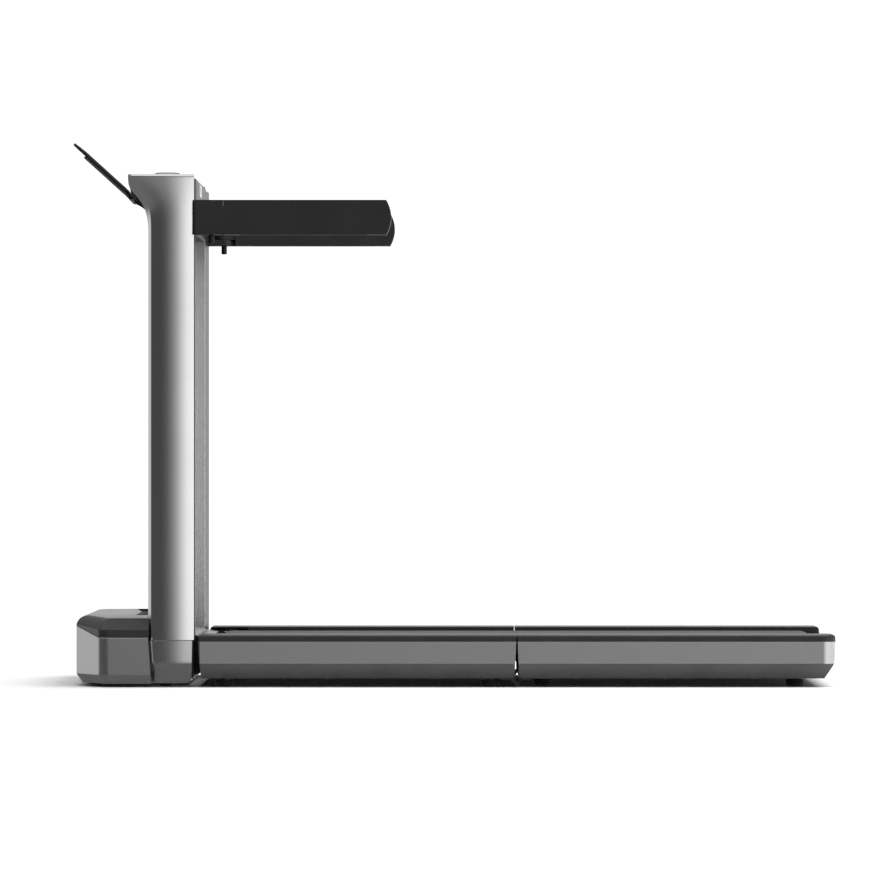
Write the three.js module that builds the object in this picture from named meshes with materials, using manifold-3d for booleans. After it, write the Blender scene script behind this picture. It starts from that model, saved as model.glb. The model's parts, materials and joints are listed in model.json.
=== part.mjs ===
// A double-folding treadmill: a base with the motor, two columns with a console between them,
// two folding handles, a tablet holder, and a running deck in two hinged halves.
//
// Frame: millimetres, +Z up, +X towards the rear of the deck, +Y to the runner's right.
// The origin is on the floor, under the middle of the machine's length and width.
import * as THREE from 'three';
import { mergeVertices } from 'three/addons/utils/BufferGeometryUtils.js';
import Module from 'manifold-3d';

const wasm = await Module();
wasm.setup();

// ---- driving dimensions -------------------------------------------------------------------
const GAP = 0.3;                    // clearance between pieces that touch
const HALF_WIDTH = 369;             // half the machine's width
const HALF_INNER = 243;             // half the space between the rails, and between the columns

const DECK_FRONT = -480;            // front end of the deck
const DECK_REAR = 733;              // rear end of the deck
const SPLIT = 126.4;                // where the two deck halves meet
const RAIL_TOP = 98.8;
const BAND_TOP = 86.3;              // the silver side band runs from here ...
const BAND_BOTTOM = 44;             // ... down to here
const PAN_BOTTOM = 15.7;            // underside of the deck
const PAN_INSET = 30;               // how far the underside is narrower on each side
const RAIL_WALL = 3;
const PAN_WALL = 2;
const REAR_CORNER = 25;             // plan radius of the deck's rear corners

const ROLLER_X = [-435, 692];       // front and rear roller; the deck lifts about the front one
const ROLLER_Z = 69;
const BELT_RADIUS = 23;             // outside of the belt where it goes round a roller
const BELT_THICK = 2;
const BELT_HALF = 235;              // half the belt's width
const AXLE_RADIUS = 8;
const TUBE_Y = [262, 300];          // frame tubes of the deck, inside the rails
const TUBE_Z = [28, 82];
const TUBE_WALL = 1.5;

const HINGE_Z = 6;                  // height of the hinge between the two deck halves
const HINGE_RADIUS = 5;
const FOOT_RADIUS = 17.5;
const FOOT_Y = { front: 318, rear: 280 };           // staggered, so that they pass when folded
const FOOT_X = { front: [-430.6, 75.7], rear: [175.8, 657.3] };

const COLUMN_FRONT = -575;
const COLUMN_REAR = -488;
const COLUMN_BOTTOM = 89;
const COLUMN_TOP = 975.4;
const COLUMN_WALL = 2.4;
const COLUMN_EDGE = 9;                // how far the convex outer face falls back at the front edge

const BASE_FRONT = -717;
const BASE_BOTTOM = 6;
const BEVEL_TOP = 23;                // the skirt slants inwards below this
const BEVEL_INSET = 12;
const SKIRT_TOP = 94;                // the seam between skirt and hood, along the sides ...
const SKIRT_FRONT_TOP = 108;         // ... and at the front, to which it rises over the slanted corners
const HOOD_CREASE = 109;
const HOOD_TOP = 134.5;
const HOOD_RIM = 130.5;              // the hood's top falls to this height along its sides
const HOOD_INSET = 29.5;
const BASE_WALL = 3;
const PLATE_Z = [8, 12];            // steel floor plate of the base
const EAR_Y = [236.8, 241.8];       // side plates that carry the front roller's axle
const WHEEL = { x: -672, y: 270, radius: 16, half: 10 };

const MOTOR = { x: -620, z: 58, radius: 36 };
const PULLEY_Y = [244, 256];
const PULLEY_RADIUS = { motor: 12, roller: 22 };
const DRIVE_THICK = 3;

const CONSOLE_REAR_FACE = -488;
const CONSOLE_TOP = 972;
const CONSOLE_WALL = 3;
const KNOB = { x: -554, radius: 26.5, bottom: 975.3, top: 993 };
const DISPLAY = { half: 60, bottom: 944, top: 968 };

const HOLDER_AXIS = { x: -612, z: 934 };
const HOLDER_HALF = 120;

const HANDLE_AXIS = { x: -455, y: 344 };
const HANDLE_END = -112.5;
const HANDLE_Z = [860, 926];
const HANDLE_Y = [325, 369];
const EAR_HEIGHT = 11.6;
const EAR_HALF = 22;
const HANDLE_WALL = 4;
const TIP = { radius: 62, angle: 32.1 };             // the handle's rounded end

const ROUND = 24;                   // segments of a full circle on small round pieces
const MIN_RADIUS = 0.5;             // smallest corner radius that an inset outline keeps

// ---- materials ----------------------------------------------------------------------------
const finish = (color, roughness, metalness) => () =>
  new THREE.MeshStandardMaterial({ color, roughness, metalness });
const silver = finish(0x9b9da1, 0.38, 0.75);
const darkPlastic = finish(0x3a3b3e, 0.55, 0.05);
const blackPlastic = finish(0x1d1e20, 0.5, 0.0);
const steel = finish(0x55585c, 0.45, 0.8);
const brightSteel = finish(0xb9bcc0, 0.3, 0.9);
const rubber = finish(0x232425, 0.85, 0.0);
const beltRubber = finish(0x2f3032, 0.8, 0.0);
const board = finish(0x8a6d4b, 0.8, 0.0);
const greenBoard = finish(0x1f5a38, 0.6, 0.0);
const led = finish(0x9fb02a, 0.4, 0.0);

// ---- outlines -----------------------------------------------------------------------------
// An outline is a list of corners [u, v] or [u, v, radius], going round once.

// Moves every edge of an outline inwards by a distance.
function inset(corners, distance) {
  const area = corners.reduce((sum, [u, v], i) => {
    const [nextU, nextV] = corners[(i + 1) % corners.length];
    return sum + u * nextV - nextU * v;
  }, 0);
  const turn = Math.sign(area);
  return corners.map((corner, i) => {
    const here = new THREE.Vector2(corner[0], corner[1]);
    const before = corners[(i + corners.length - 1) % corners.length];
    const after = corners[(i + 1) % corners.length];
    const into = here.clone().sub(new THREE.Vector2(before[0], before[1])).normalize();
    const out = new THREE.Vector2(after[0], after[1]).sub(here).normalize();
    const normalIn = new THREE.Vector2(-into.y, into.x).multiplyScalar(turn);
    const normalOut = new THREE.Vector2(-out.y, out.x).multiplyScalar(turn);
    const middle = normalIn.clone().add(normalOut);
    const reach = (2 * distance) / middle.lengthSq();
    here.addScaledVector(middle, reach);
    const radius = corner[2] ? Math.max(corner[2] - distance, MIN_RADIUS) : 0;
    return [here.x, here.y, radius];
  });
}

// The three.js shape of an outline, with its corners rounded in a few straight steps.
function shapeOf(corners, steps = 4) {
  const points = [];
  corners.forEach((corner, i) => {
    const here = new THREE.Vector2(corner[0], corner[1]);
    const radius = corner[2] ?? 0;
    if (radius < MIN_RADIUS / 2) {
      points.push(here);
      return;
    }
    const before = corners[(i + corners.length - 1) % corners.length];
    const after = corners[(i + 1) % corners.length];
    const back = new THREE.Vector2(before[0], before[1]).sub(here).normalize();
    const forth = new THREE.Vector2(after[0], after[1]).sub(here).normalize();
    const halfAngle = Math.acos(THREE.MathUtils.clamp(back.dot(forth), -1, 1)) / 2;
    const centre = back.clone().add(forth).normalize().multiplyScalar(radius / Math.sin(halfAngle)).add(here);
    const start = here.clone().addScaledVector(back, radius / Math.tan(halfAngle)).sub(centre);
    const end = here.clone().addScaledVector(forth, radius / Math.tan(halfAngle)).sub(centre);
    const sweep = Math.atan2(start.cross(end), start.dot(end));
    for (let step = 0; step <= steps; step += 1) {
      const point = start.clone().rotateAround(new THREE.Vector2(), (sweep * step) / steps);
      points.push(point.add(centre));
    }
  });
  return new THREE.Shape(points);
}

// Corner points of an arc, to use inside an outline; angles in degrees.
function arc(u, v, radius, from, to, steps) {
  return Array.from({ length: steps + 1 }, (_, i) => {
    const angle = THREE.MathUtils.degToRad(from + ((to - from) * i) / steps);
    return [u + radius * Math.cos(angle), v + radius * Math.sin(angle)];
  });
}

// ---- solids -------------------------------------------------------------------------------
// Outline in X and Z, carried along Y.
function alongY(corners, y0, y1, steps) {
  const geometry = new THREE.ExtrudeGeometry(shapeOf(corners, steps), { depth: y1 - y0, bevelEnabled: false });
  return geometry.rotateX(Math.PI / 2).translate(0, y1, 0);
}

// Outline in X and Y, carried up Z.
function alongZ(corners, z0, z1, steps) {
  const geometry = new THREE.ExtrudeGeometry(shapeOf(corners, steps), { depth: z1 - z0, bevelEnabled: false });
  return geometry.translate(0, 0, z0);
}

// Outline in Y and Z, carried along X.
function alongX(corners, x0, x1, steps) {
  const geometry = new THREE.ExtrudeGeometry(shapeOf(corners, steps), { depth: x1 - x0, bevelEnabled: false });
  const axes = new THREE.Matrix4().makeBasis(
    new THREE.Vector3(0, 1, 0), new THREE.Vector3(0, 0, 1), new THREE.Vector3(1, 0, 0));
  return geometry.applyMatrix4(axes).translate(x0, 0, 0);
}

function box(x0, x1, y0, y1, z0, z1) {
  const geometry = new THREE.BoxGeometry(x1 - x0, y1 - y0, z1 - z0);
  return geometry.translate((x0 + x1) / 2, (y0 + y1) / 2, (z0 + z1) / 2);
}

function rodY(radius, y0, y1, x, z, segments = ROUND) {
  return new THREE.CylinderGeometry(radius, radius, y1 - y0, segments).translate(x, (y0 + y1) / 2, z);
}

function rodZ(radius, z0, z1, x, y, segments = ROUND) {
  const geometry = new THREE.CylinderGeometry(radius, radius, z1 - z0, segments).rotateX(Math.PI / 2);
  return geometry.translate(x, y, (z0 + z1) / 2);
}

// A turned piece about the Z axis, from its half section [radius, z].
function turned(section, segments = ROUND) {
  const points = section.map(([radius, z]) => new THREE.Vector2(radius, z));
  return new THREE.LatheGeometry(points, segments).rotateX(Math.PI / 2);
}

// A block with an X and Y outline at one height, and the outline moved inwards at another.
function tapered(corners, zWide, zNarrow, insetBy) {
  const wide = shapeOf(corners).getPoints();
  const narrow = shapeOf(inset(corners, insetBy)).getPoints();
  const low = Math.min(zWide, zNarrow);
  const geometry = new THREE.ExtrudeGeometry(new THREE.Shape(wide), {
    depth: Math.abs(zNarrow - zWide), bevelEnabled: false }).translate(0, 0, low);
  const position = geometry.attributes.position;
  const here = new THREE.Vector2();
  for (let i = 0; i < position.count; i += 1) {
    if (Math.abs(position.getZ(i) - zNarrow) < 0.01) {
      here.set(position.getX(i), position.getY(i));
      const nearest = wide.reduce((best, point, index) =>
        (point.distanceTo(here) < wide[best].distanceTo(here) ? index : best), 0);
      position.setXY(i, narrow[nearest].x, narrow[nearest].y);
    }
  }
  return geometry;
}

function solid(geometry) {
  const bare = geometry.clone();
  bare.deleteAttribute('normal');
  bare.deleteAttribute('uv');
  const merged = mergeVertices(bare, 1e-4);
  return new wasm.Manifold(new wasm.Mesh({
    numProp: 3,
    vertProperties: Float32Array.from(merged.attributes.position.array),
    triVerts: Uint32Array.from(merged.index.array),
  }));
}

const join = (first, ...others) => others.reduce((sum, geometry) => sum.add(solid(geometry)), solid(first));
const cut = (body, ...tools) => tools.reduce((rest, geometry) => rest.subtract(solid(geometry)), body);

function geometryOf(body) {
  const mesh = body.getMesh();
  const geometry = new THREE.BufferGeometry();
  geometry.setAttribute('position', new THREE.BufferAttribute(mesh.vertProperties, 3));
  geometry.setIndex(new THREE.BufferAttribute(mesh.triVerts, 1));
  geometry.computeVertexNormals();
  return geometry;
}

// ---- the scene graph ----------------------------------------------------------------------
const treadmill = new THREE.Group();

function place(name, shape, material, position = [0, 0, 0]) {
  const geometry = shape.isBufferGeometry ? shape : geometryOf(shape);
  const mesh = new THREE.Mesh(geometry, material());
  mesh.name = name;
  mesh.position.set(...position);
  treadmill.add(mesh);
}

const SIDES = [['left', -1], ['right', 1]];
const span = (side, near, far) => (side > 0 ? [near, far] : [-far, -near]);

// ---- base ---------------------------------------------------------------------------------
const BASE_BACK = COLUMN_FRONT - GAP - 1.5;          // where the skirt and hood stop, just before the columns
const BASE_SHOULDER = { x: -664, radius: 24 };      // corner where a side turns into the slanted front corner
const BASE_CORNER = { y: 262, radius: 18 };         // corner where the slant turns into the front
const BRIDGE_HALF = HALF_INNER - 1.2;               // half the width of the hood's bridge between the columns
const POCKET = { front: -626, back: -578, half: 262, depth: 5 };
const POCKET_FLOOR = 4;
const INLET = { y: [190, 250], z: [32, 64] };

// Plan of the base, carried on under the columns so that its back stays open.
function basePlan() {
  const back = BASE_BACK + 80;
  const { x, radius } = BASE_SHOULDER;
  const corner = BASE_CORNER;
  return [
    [back, -HALF_WIDTH], [back, HALF_WIDTH], [x, HALF_WIDTH, radius], [BASE_FRONT, corner.y, corner.radius],
    [BASE_FRONT, -corner.y, corner.radius], [x, -HALF_WIDTH, radius],
  ];
}

// The part of the base in front of the columns, between the seam (moved by an offset) and another height.
function fromSeam(offset, height) {
  const seam = [[BASE_BACK, SKIRT_TOP + offset], [BASE_SHOULDER.x, SKIRT_TOP + offset],
    [BASE_FRONT, SKIRT_FRONT_TOP + offset], [BASE_FRONT - 10, SKIRT_FRONT_TOP + offset]];
  return alongY([...seam, [BASE_FRONT - 10, height], [BASE_BACK, height]], -HALF_WIDTH - 10, HALF_WIDTH + 10);
}

// The painted band round the base, open above and below.
function baseSkirt() {
  const block = (by) => join(
    tapered(inset(basePlan(), by), BEVEL_TOP, BASE_BOTTOM, BEVEL_INSET),
    alongZ(inset(basePlan(), by), BEVEL_TOP, SKIRT_TOP + 20));
  const below = alongZ(inset(basePlan(), BASE_WALL + BEVEL_INSET), BASE_BOTTOM - 1, BEVEL_TOP);
  const [y0, y1] = INLET.y;
  const [z0, z1] = INLET.z;
  const window = box(BASE_FRONT - 5, BASE_FRONT + 8, y0 - GAP, y1 + GAP, z0 - GAP, z1 + GAP);
  const band = solid(fromSeam(-GAP, BASE_BOTTOM - 2));
  return cut(block(0).subtract(block(BASE_WALL)).intersect(band), below, window);
}

// The dark top cover: a sloped shoulder in front of the columns and a bridge between them.
function hood() {
  const roof = [[-HALF_WIDTH, 0], [HALF_WIDTH, 0], [HALF_WIDTH, 129], [344, HOOD_RIM], [269, HOOD_TOP],
    [-269, HOOD_TOP], [-344, HOOD_RIM], [-HALF_WIDTH, 129]];
  const block = (by) => join(
    alongZ(inset(basePlan(), by), SKIRT_TOP - 10 * by, HOOD_CREASE),
    tapered(inset(basePlan(), by), HOOD_CREASE, HOOD_TOP - by, HOOD_INSET),
  ).intersect(solid(alongX(inset(roof, by), -800, -400)));
  const lip = 88.4;
  const bridgeView = [[-600, HOOD_TOP], [-553, HOOD_TOP, 12], [-487, 95, 10], [-461, 91], [-461, lip],
    [-489, lip], [-489, 60], [-600, 60]];
  const underView = [[-660, HOOD_TOP - BASE_WALL], [-553, HOOD_TOP - BASE_WALL, 12], [-492, 94], [-492, 50],
    [-660, 50]];
  const noseSides = SIDES.map(([, side]) => box(-487, -455, ...span(side, 235, 260), 80, 100));
  const bridge = cut(solid(alongY(bridgeView, -BRIDGE_HALF, BRIDGE_HALF)), ...noseSides,
    box(-601, -486, -300, 300, 50, lip));
  const { front, back, half, depth } = POCKET;
  const floor = HOOD_TOP - depth;
  const well = solid(box(front - BASE_WALL, back + POCKET_FLOOR, -half - BASE_WALL, half + BASE_WALL,
    floor - POCKET_FLOOR, HOOD_TOP + 1));
  const pocketView = [[front, HOOD_TOP + 1], [front + 8, floor, 3], [back - 1, floor, 3], [back, HOOD_TOP + 1]];
  const underBridge = solid(alongY(underView, -BRIDGE_HALF + BASE_WALL, BRIDGE_HALF - BASE_WALL));
  const beforeColumns = solid(box(BASE_FRONT, BASE_BACK, -HALF_WIDTH, HALF_WIDTH, 0, HOOD_TOP));
  const cavity = block(BASE_WALL).intersect(beforeColumns).add(underBridge).subtract(well);
  const cover = block(0).intersect(solid(fromSeam(0, HOOD_TOP + 1)));
  return cut(cover.add(bridge).subtract(cavity), alongY(pocketView, -half, half));
}

// The welded base: floor plate, two side plates that carry the roller's axle, and wheel forks.
function baseFrame() {
  const earOutline = [
    [-570, PLATE_Z[0] + 1], [-505, PLATE_Z[0] + 1],
    ...arc(ROLLER_X[0], ROLLER_Z, 16, -57, 90, 8),
    [-508, 84, 6], [-530, 60, 6], [-570, 60],
  ];
  const hole = rodY(AXLE_RADIUS + GAP, -400, 400, ROLLER_X[0], ROLLER_Z);
  let frame = solid(box(-652, -498, -345, 345, ...PLATE_Z));
  for (const [, side] of SIDES) {
    frame = frame.add(solid(alongY(earOutline, ...span(side, ...EAR_Y))));
    for (const offset of [-14, 11]) {
      const fork = [[-650, PLATE_Z[0]], [-650, 24], [WHEEL.x - 6, 24, 5], [WHEEL.x - 6, 9, 3]];
      frame = frame.add(solid(alongY(fork, ...span(side, WHEEL.y + offset, WHEEL.y + offset + 3))));
    }
  }
  const axles = rodY(3 + GAP, -400, 400, WHEEL.x, WHEEL.radius, 16);
  return cut(frame, hole, axles);
}

function transportWheel() {
  const { radius, half } = WHEEL;
  const section = [[0, -half - 5], [3, -half - 5], [3, -half], [radius - 2, -half], [radius, -half + 2],
    [radius, half - 2], [radius - 2, half], [3, half], [3, half + 5], [0, half + 5]];
  return turned(section, 32).rotateX(Math.PI / 2);
}

function motor() {
  const can = rodY(MOTOR.radius, 70, 225, MOTOR.x, MOTOR.z, 36);
  const shaft = rodY(5, 220, 257.5, MOTOR.x, MOTOR.z, 16);
  const saddles = [[85, 100], [195, 210]].map((place) =>
    box(MOTOR.x - 28, MOTOR.x + 28, ...place, PLATE_Z[1] + GAP, MOTOR.z - 20));
  return join(can, shaft, ...saddles);
}

function motorPulley() {
  const [near, far] = PULLEY_Y;
  const rim = rodY(PULLEY_RADIUS.motor - GAP, near, far, MOTOR.x, MOTOR.z, ROUND);
  const flange = rodY(PULLEY_RADIUS.motor + 3, near - 1.6, near - 0.2, MOTOR.x, MOTOR.z, ROUND);
  const bore = rodY(5 + GAP, near - 3, far + 3, MOTOR.x, MOTOR.z, 16);
  return cut(join(rim, rodY(8, near - 1, near + 2, MOTOR.x, MOTOR.z), flange), bore);
}

// The ribbed drive belt: two round ends and two straight runs.
function driveBelt() {
  const [fromX, fromZ, toX, toZ] = [MOTOR.x, MOTOR.z, ROLLER_X[0], ROLLER_Z];
  const reach = Math.hypot(toX - fromX, toZ - fromZ);
  const tilt = THREE.MathUtils.radToDeg(Math.atan2(toZ - fromZ, toX - fromX));
  const flare = THREE.MathUtils.radToDeg(Math.asin((PULLEY_RADIUS.roller - PULLEY_RADIUS.motor) / reach));
  const loop = (grow) => [
    ...arc(fromX, fromZ, PULLEY_RADIUS.motor + grow, tilt + 90 + flare, tilt + 270 - flare, 12),
    ...arc(toX, toZ, PULLEY_RADIUS.roller + grow, tilt - 90 - flare, tilt + 90 + flare, 16),
  ];
  const [near, far] = [PULLEY_Y[0] + 0.5, PULLEY_Y[1] - 0.5];
  return cut(solid(alongY(loop(DRIVE_THICK), near, far)), alongY(loop(GAP), near - 1, far + 1));
}

function controllerBoard() {
  const sheet = box(-690, -590, -190, 20, 30, 32);
  const sink = box(-660, -620, -170, -60, 31, 70);
  const slots = Array.from({ length: 5 }, (_, i) => box(-655 + i * 7, -652 + i * 7, -171, -59, 40, 71));
  const posts = [[-685, -185], [-595, -185], [-685, 15], [-595, 15]].map(([x, y]) =>
    rodZ(4, PLATE_Z[1] + GAP, 31, Math.max(x, -646), y, 12));
  return cut(join(sheet, sink, ...posts), ...slots);
}

// Mains inlet and switch frame in one module on the front of the base.
function powerInlet() {
  const [y0, y1] = INLET.y;
  const [z0, z1] = INLET.z;
  const body = solid(box(BASE_FRONT + 0.5, BASE_FRONT + 34, y0, y1, z0, z1));
  const socket = box(BASE_FRONT - 1, BASE_FRONT + 22, y0 + 4, y0 + 32, z0 + 6, z1 - 6);
  const rockerHole = box(BASE_FRONT - 1, BASE_FRONT + 20, y1 - 22, y1 - 4, z0 + 4, z1 - 4);
  const pins = [9, 17, 25].map((y) => box(BASE_FRONT + 5, BASE_FRONT + 24, y0 + y, y0 + y + 2, 46, 50));
  return join(geometryOf(cut(body, socket, rockerHole)), ...pins);
}

// The rocker stands out at its lower end when it is off.
function powerSwitch() {
  const outline = [[BASE_FRONT - 2, 38.6], [BASE_FRONT + 12, 37.5, 3], [BASE_FRONT + 12, 58.5, 3],
    [BASE_FRONT + 3, 58.5], [BASE_FRONT + 2, 48]];
  return alongY(outline, INLET.y[1] - 21, INLET.y[1] - 5);
}

function buildBase() {
  place('base_frame', baseFrame(), steel);
  place('base_skirt', baseSkirt(), silver);
  place('hood', hood(), darkPlastic);
  place('motor', motor(), steel);
  place('motor_pulley', motorPulley(), brightSteel);
  place('drive_belt', driveBelt(), rubber);
  place('controller_board', controllerBoard(), greenBoard);
  place('power_inlet', powerInlet(), blackPlastic);
  place('power_switch', powerSwitch(), blackPlastic);
  for (const [name, side] of SIDES) {
    place(`transport_wheel_${name}`, transportWheel(), rubber, [WHEEL.x, side * WHEEL.y, WHEEL.radius]);
    place(`base_foot_${name}`, turned([[0, 0], [12, 0], [14, 2], [14, PLATE_Z[0] - GAP], [0, PLATE_Z[0] - GAP]]),
      rubber, [-543, side * 300, 0]);
  }
}

// ---- columns ------------------------------------------------------------------------------
// Section of a column in X and Y for the right side; its outer face is slightly convex.
function columnSection() {
  const front = COLUMN_FRONT + 6;
  const bulge = Array.from({ length: 7 }, (_, i) => {
    const t = i / 6;
    return [front + (COLUMN_REAR - front) * t, HALF_WIDTH - COLUMN_EDGE * (1 - t) ** 2];
  });
  return [[COLUMN_REAR, HALF_INNER], [COLUMN_FRONT, HALF_INNER, 3], [COLUMN_FRONT, HALF_WIDTH - 14, 2], ...bulge];
}

// The same section where the column flares to the front at its top.
function flaredSection() {
  const reach = -640;
  const outerFront = HALF_WIDTH - COLUMN_EDGE;
  return [[COLUMN_REAR, HALF_INNER], [reach, HALF_INNER], [reach, outerFront], ...columnSection().slice(3)];
}

// Side view of a column: straight, with a flare to the front at the top.
const COLUMN_VIEW = [
  [COLUMN_REAR, COLUMN_BOTTOM + GAP], [COLUMN_REAR, COLUMN_TOP], [-613.5, COLUMN_TOP], [-612, 955], [-604, 941],
  [-586, 919], [-578, 897], [COLUMN_FRONT, 877], [COLUMN_FRONT, COLUMN_BOTTOM + GAP],
];

const mirrored = (corners, side) => corners.map(([x, y, radius]) => [x, y * side, radius]);
const mirroredSection = (corners, side) => corners.map(([y, z, radius]) => [y * side, z, radius]);

// A hollow column with the tenon that stands in the base.
function column(side) {
  const view = solid(alongY(COLUMN_VIEW, ...span(side, HALF_INNER - 1, HALF_WIDTH + 1)));
  const lower = solid(alongZ(mirrored(columnSection(), side), COLUMN_BOTTOM - 5, 900));
  const upper = solid(alongZ(mirrored(flaredSection(), side), 890, COLUMN_TOP + 5));
  const hollowPlan = [
    [COLUMN_REAR - COLUMN_WALL, HALF_INNER + COLUMN_WALL], [COLUMN_FRONT + COLUMN_WALL, HALF_INNER + COLUMN_WALL],
    [COLUMN_FRONT + COLUMN_WALL, HALF_WIDTH - 17], [COLUMN_REAR - COLUMN_WALL, HALF_WIDTH - 6],
  ];
  const hollow = solid(alongZ(mirrored(hollowPlan, side), COLUMN_BOTTOM - 10, COLUMN_TOP - COLUMN_WALL));
  const [y0, y1] = span(side, 270, 340);
  const tenonView = [[-562, PLATE_Z[1] + GAP], [-497, PLATE_Z[1] + GAP], [-497, 92], [-490, 92], [-490, 200],
    [-573, 200], [-573, 92], [-562, 92]];
  const tenon = cut(solid(alongY(tenonView, y0, y1)), box(-559, -500, y0 + 3, y1 - 3, 0, 210));
  return lower.add(upper).intersect(view).subtract(hollow).add(tenon);
}

// The cover round the foot of a column, open towards the inside of the base.
function columnFoot(side) {
  const view = [[-574, COLUMN_BOTTOM - GAP], [-489, COLUMN_BOTTOM - GAP], [-491, 44], [-491.6, 12, 6],
    [-500, 7], [-568.5, 7], [-571.5, 44]];
  const lower = [[HALF_INNER - 1, 7], [HALF_WIDTH - 13, 7], [HALF_WIDTH - 1.5, 43], [HALF_WIDTH, 60],
    [HALF_WIDTH, 95], [HALF_INNER - 1, 95]];
  const section = mirroredSection(lower, side);
  const outer = solid(alongY(view, ...span(side, HALF_INNER, HALF_WIDTH + 1)));
  const wedge = solid(alongX(section, -600, -450));
  const inner = solid(alongY(inset(view, 2.5), ...span(side, HALF_INNER - 2, HALF_WIDTH - 2.5)));
  const innerWedge = solid(alongX(mirroredSection(inset(lower, 2.5), side), -600, -450));
  const [y0, y1] = span(side, HALF_INNER - 2, HALF_INNER + 17);
  const [w0, w1] = span(side, HALF_INNER - 2, HALF_WIDTH - 14);
  return cut(outer.intersect(wedge).subtract(inner.intersect(innerWedge)),
    box(-600, -480, y0, y1, 0, 100), box(-580, -497, w0, w1, 0, 100));
}

// ---- console ------------------------------------------------------------------------------
const CONSOLE_VIEW = [
  [CONSOLE_REAR_FACE, 865, 4], [CONSOLE_REAR_FACE, CONSOLE_TOP, 3], [-621, 974, 2], [-616, 945, 30],
  [-603, 930, 20], [-590, 919, 20], [-581, 904, 20], [-575, 882, 20], [-575, 865, 6],
];

function consoleShell() {
  const half = HALF_INNER - GAP;
  const outer = solid(alongY(CONSOLE_VIEW, -half, half, 3));
  const hollow = alongY(inset(CONSOLE_VIEW, CONSOLE_WALL), -half - 1, half + 1, 3);
  const window = box(CONSOLE_REAR_FACE - 6, CONSOLE_REAR_FACE + 2, -DISPLAY.half - GAP, DISPLAY.half + GAP,
    DISPLAY.bottom - GAP, DISPLAY.top + GAP);
  return cut(outer, hollow, window, rodZ(8 + GAP, 960, 980, KNOB.x, 0));
}

function knob() {
  const { radius, bottom, top } = KNOB;
  const bore = 8 + GAP;
  return turned([[bore, bottom], [radius, bottom], [radius, top - 3], [radius - 2, top - 1], [12, top - 0.2],
    [0, top], [0, top - 4], [bore, top - 4], [bore, bottom]], 48);
}

function holderPlate() {
  const outline = [[-729, 1047], [-624, 952], [-615, 937.5], [-620, 934.6], [-629, 948.6], [-733, 1042.5]];
  return alongY(outline, -HOLDER_HALF, HOLDER_HALF);
}

// Back bracket of the tablet holder, with the middle knuckle of its hinge.
function holderBracket() {
  const outline = [[-713.4, 1024.4], [-629.2, 948.1], [-620.4, 934.2], [-617, 936.2], [-612, 937.4],
    [-610, 931], [-620, 931.6], [-632.6, 945.2], [-716.4, 1021]];
  const blade = solid(alongY(outline, -22, 22));
  const knuckle = solid(rodY(3.5, -22, 22, HOLDER_AXIS.x, HOLDER_AXIS.z));
  return cut(blade.add(knuckle), rodY(1.8, -23, 23, HOLDER_AXIS.x, HOLDER_AXIS.z, 12));
}

// The holder's hinge block on the front of the console.
function holderArm() {
  const outline = [[-603.3, 929.6], [-592.3, 920.3], [-594.2, 918], [-606, 927], [-613.5, 931], [-609.8, 935.4]];
  const pieces = [rodY(1.5, -38, 38, HOLDER_AXIS.x, HOLDER_AXIS.z, 12)];
  for (const [, side] of SIDES) {
    pieces.push(alongY(outline, ...span(side, 22.6, 38)));
    pieces.push(rodY(3.5, ...span(side, 22.6, 38), HOLDER_AXIS.x, HOLDER_AXIS.z));
  }
  const foot = [[-603.3, 929.6], [-592.3, 920.3], [-594.2, 918], [-605.2, 927.3]];
  return join(...pieces, alongY(foot, -30, 30));
}

function buildConsole() {
  place('console_shell', consoleShell(), darkPlastic);
  place('display_window', box(CONSOLE_REAR_FACE - 2.4, CONSOLE_REAR_FACE - 0.2, -DISPLAY.half, DISPLAY.half,
    DISPLAY.bottom, DISPLAY.top), led);
  place('console_board', box(-497, -495.4, -90, 90, 925, 967), greenBoard);
  place('knob_stem', rodZ(8, 955, KNOB.top - 4 - GAP, 0, 0), brightSteel, [KNOB.x, 0, 0]);
  place('knob', knob(), blackPlastic, [KNOB.x, 0, 0]);
  place('holder_plate', holderPlate(), blackPlastic);
  place('holder_bracket', holderBracket(), silver);
  place('holder_arm', holderArm(), steel);
  for (const [name, side] of SIDES) {
    place(`column_${name}`, column(side), silver);
    place(`column_foot_${name}`, columnFoot(side), darkPlastic);
  }
}

// ---- handles ------------------------------------------------------------------------------
function handleBracket(side) {
  const [bottom, top] = HANDLE_Z;
  const { x, y } = HANDLE_AXIS;
  const outline = [[COLUMN_REAR + GAP, side * y + EAR_HALF], [COLUMN_REAR + GAP, side * y - EAR_HALF],
    ...arc(x, side * y, EAR_HALF, -90, 90, 12)];
  const block = solid(alongZ(outline, bottom, top));
  const mouth = box(COLUMN_REAR + 10, x + 40, side * y - 40, side * y + 40, bottom + EAR_HEIGHT, top - EAR_HEIGHT);
  const pin = rodZ(4, 895, top - EAR_HEIGHT + 1, x, side * y, 16);
  return cut(block, mouth, rodZ(4 + GAP, bottom - 1, bottom + EAR_HEIGHT + 1, x, side * y, 16)).add(solid(pin));
}

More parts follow.
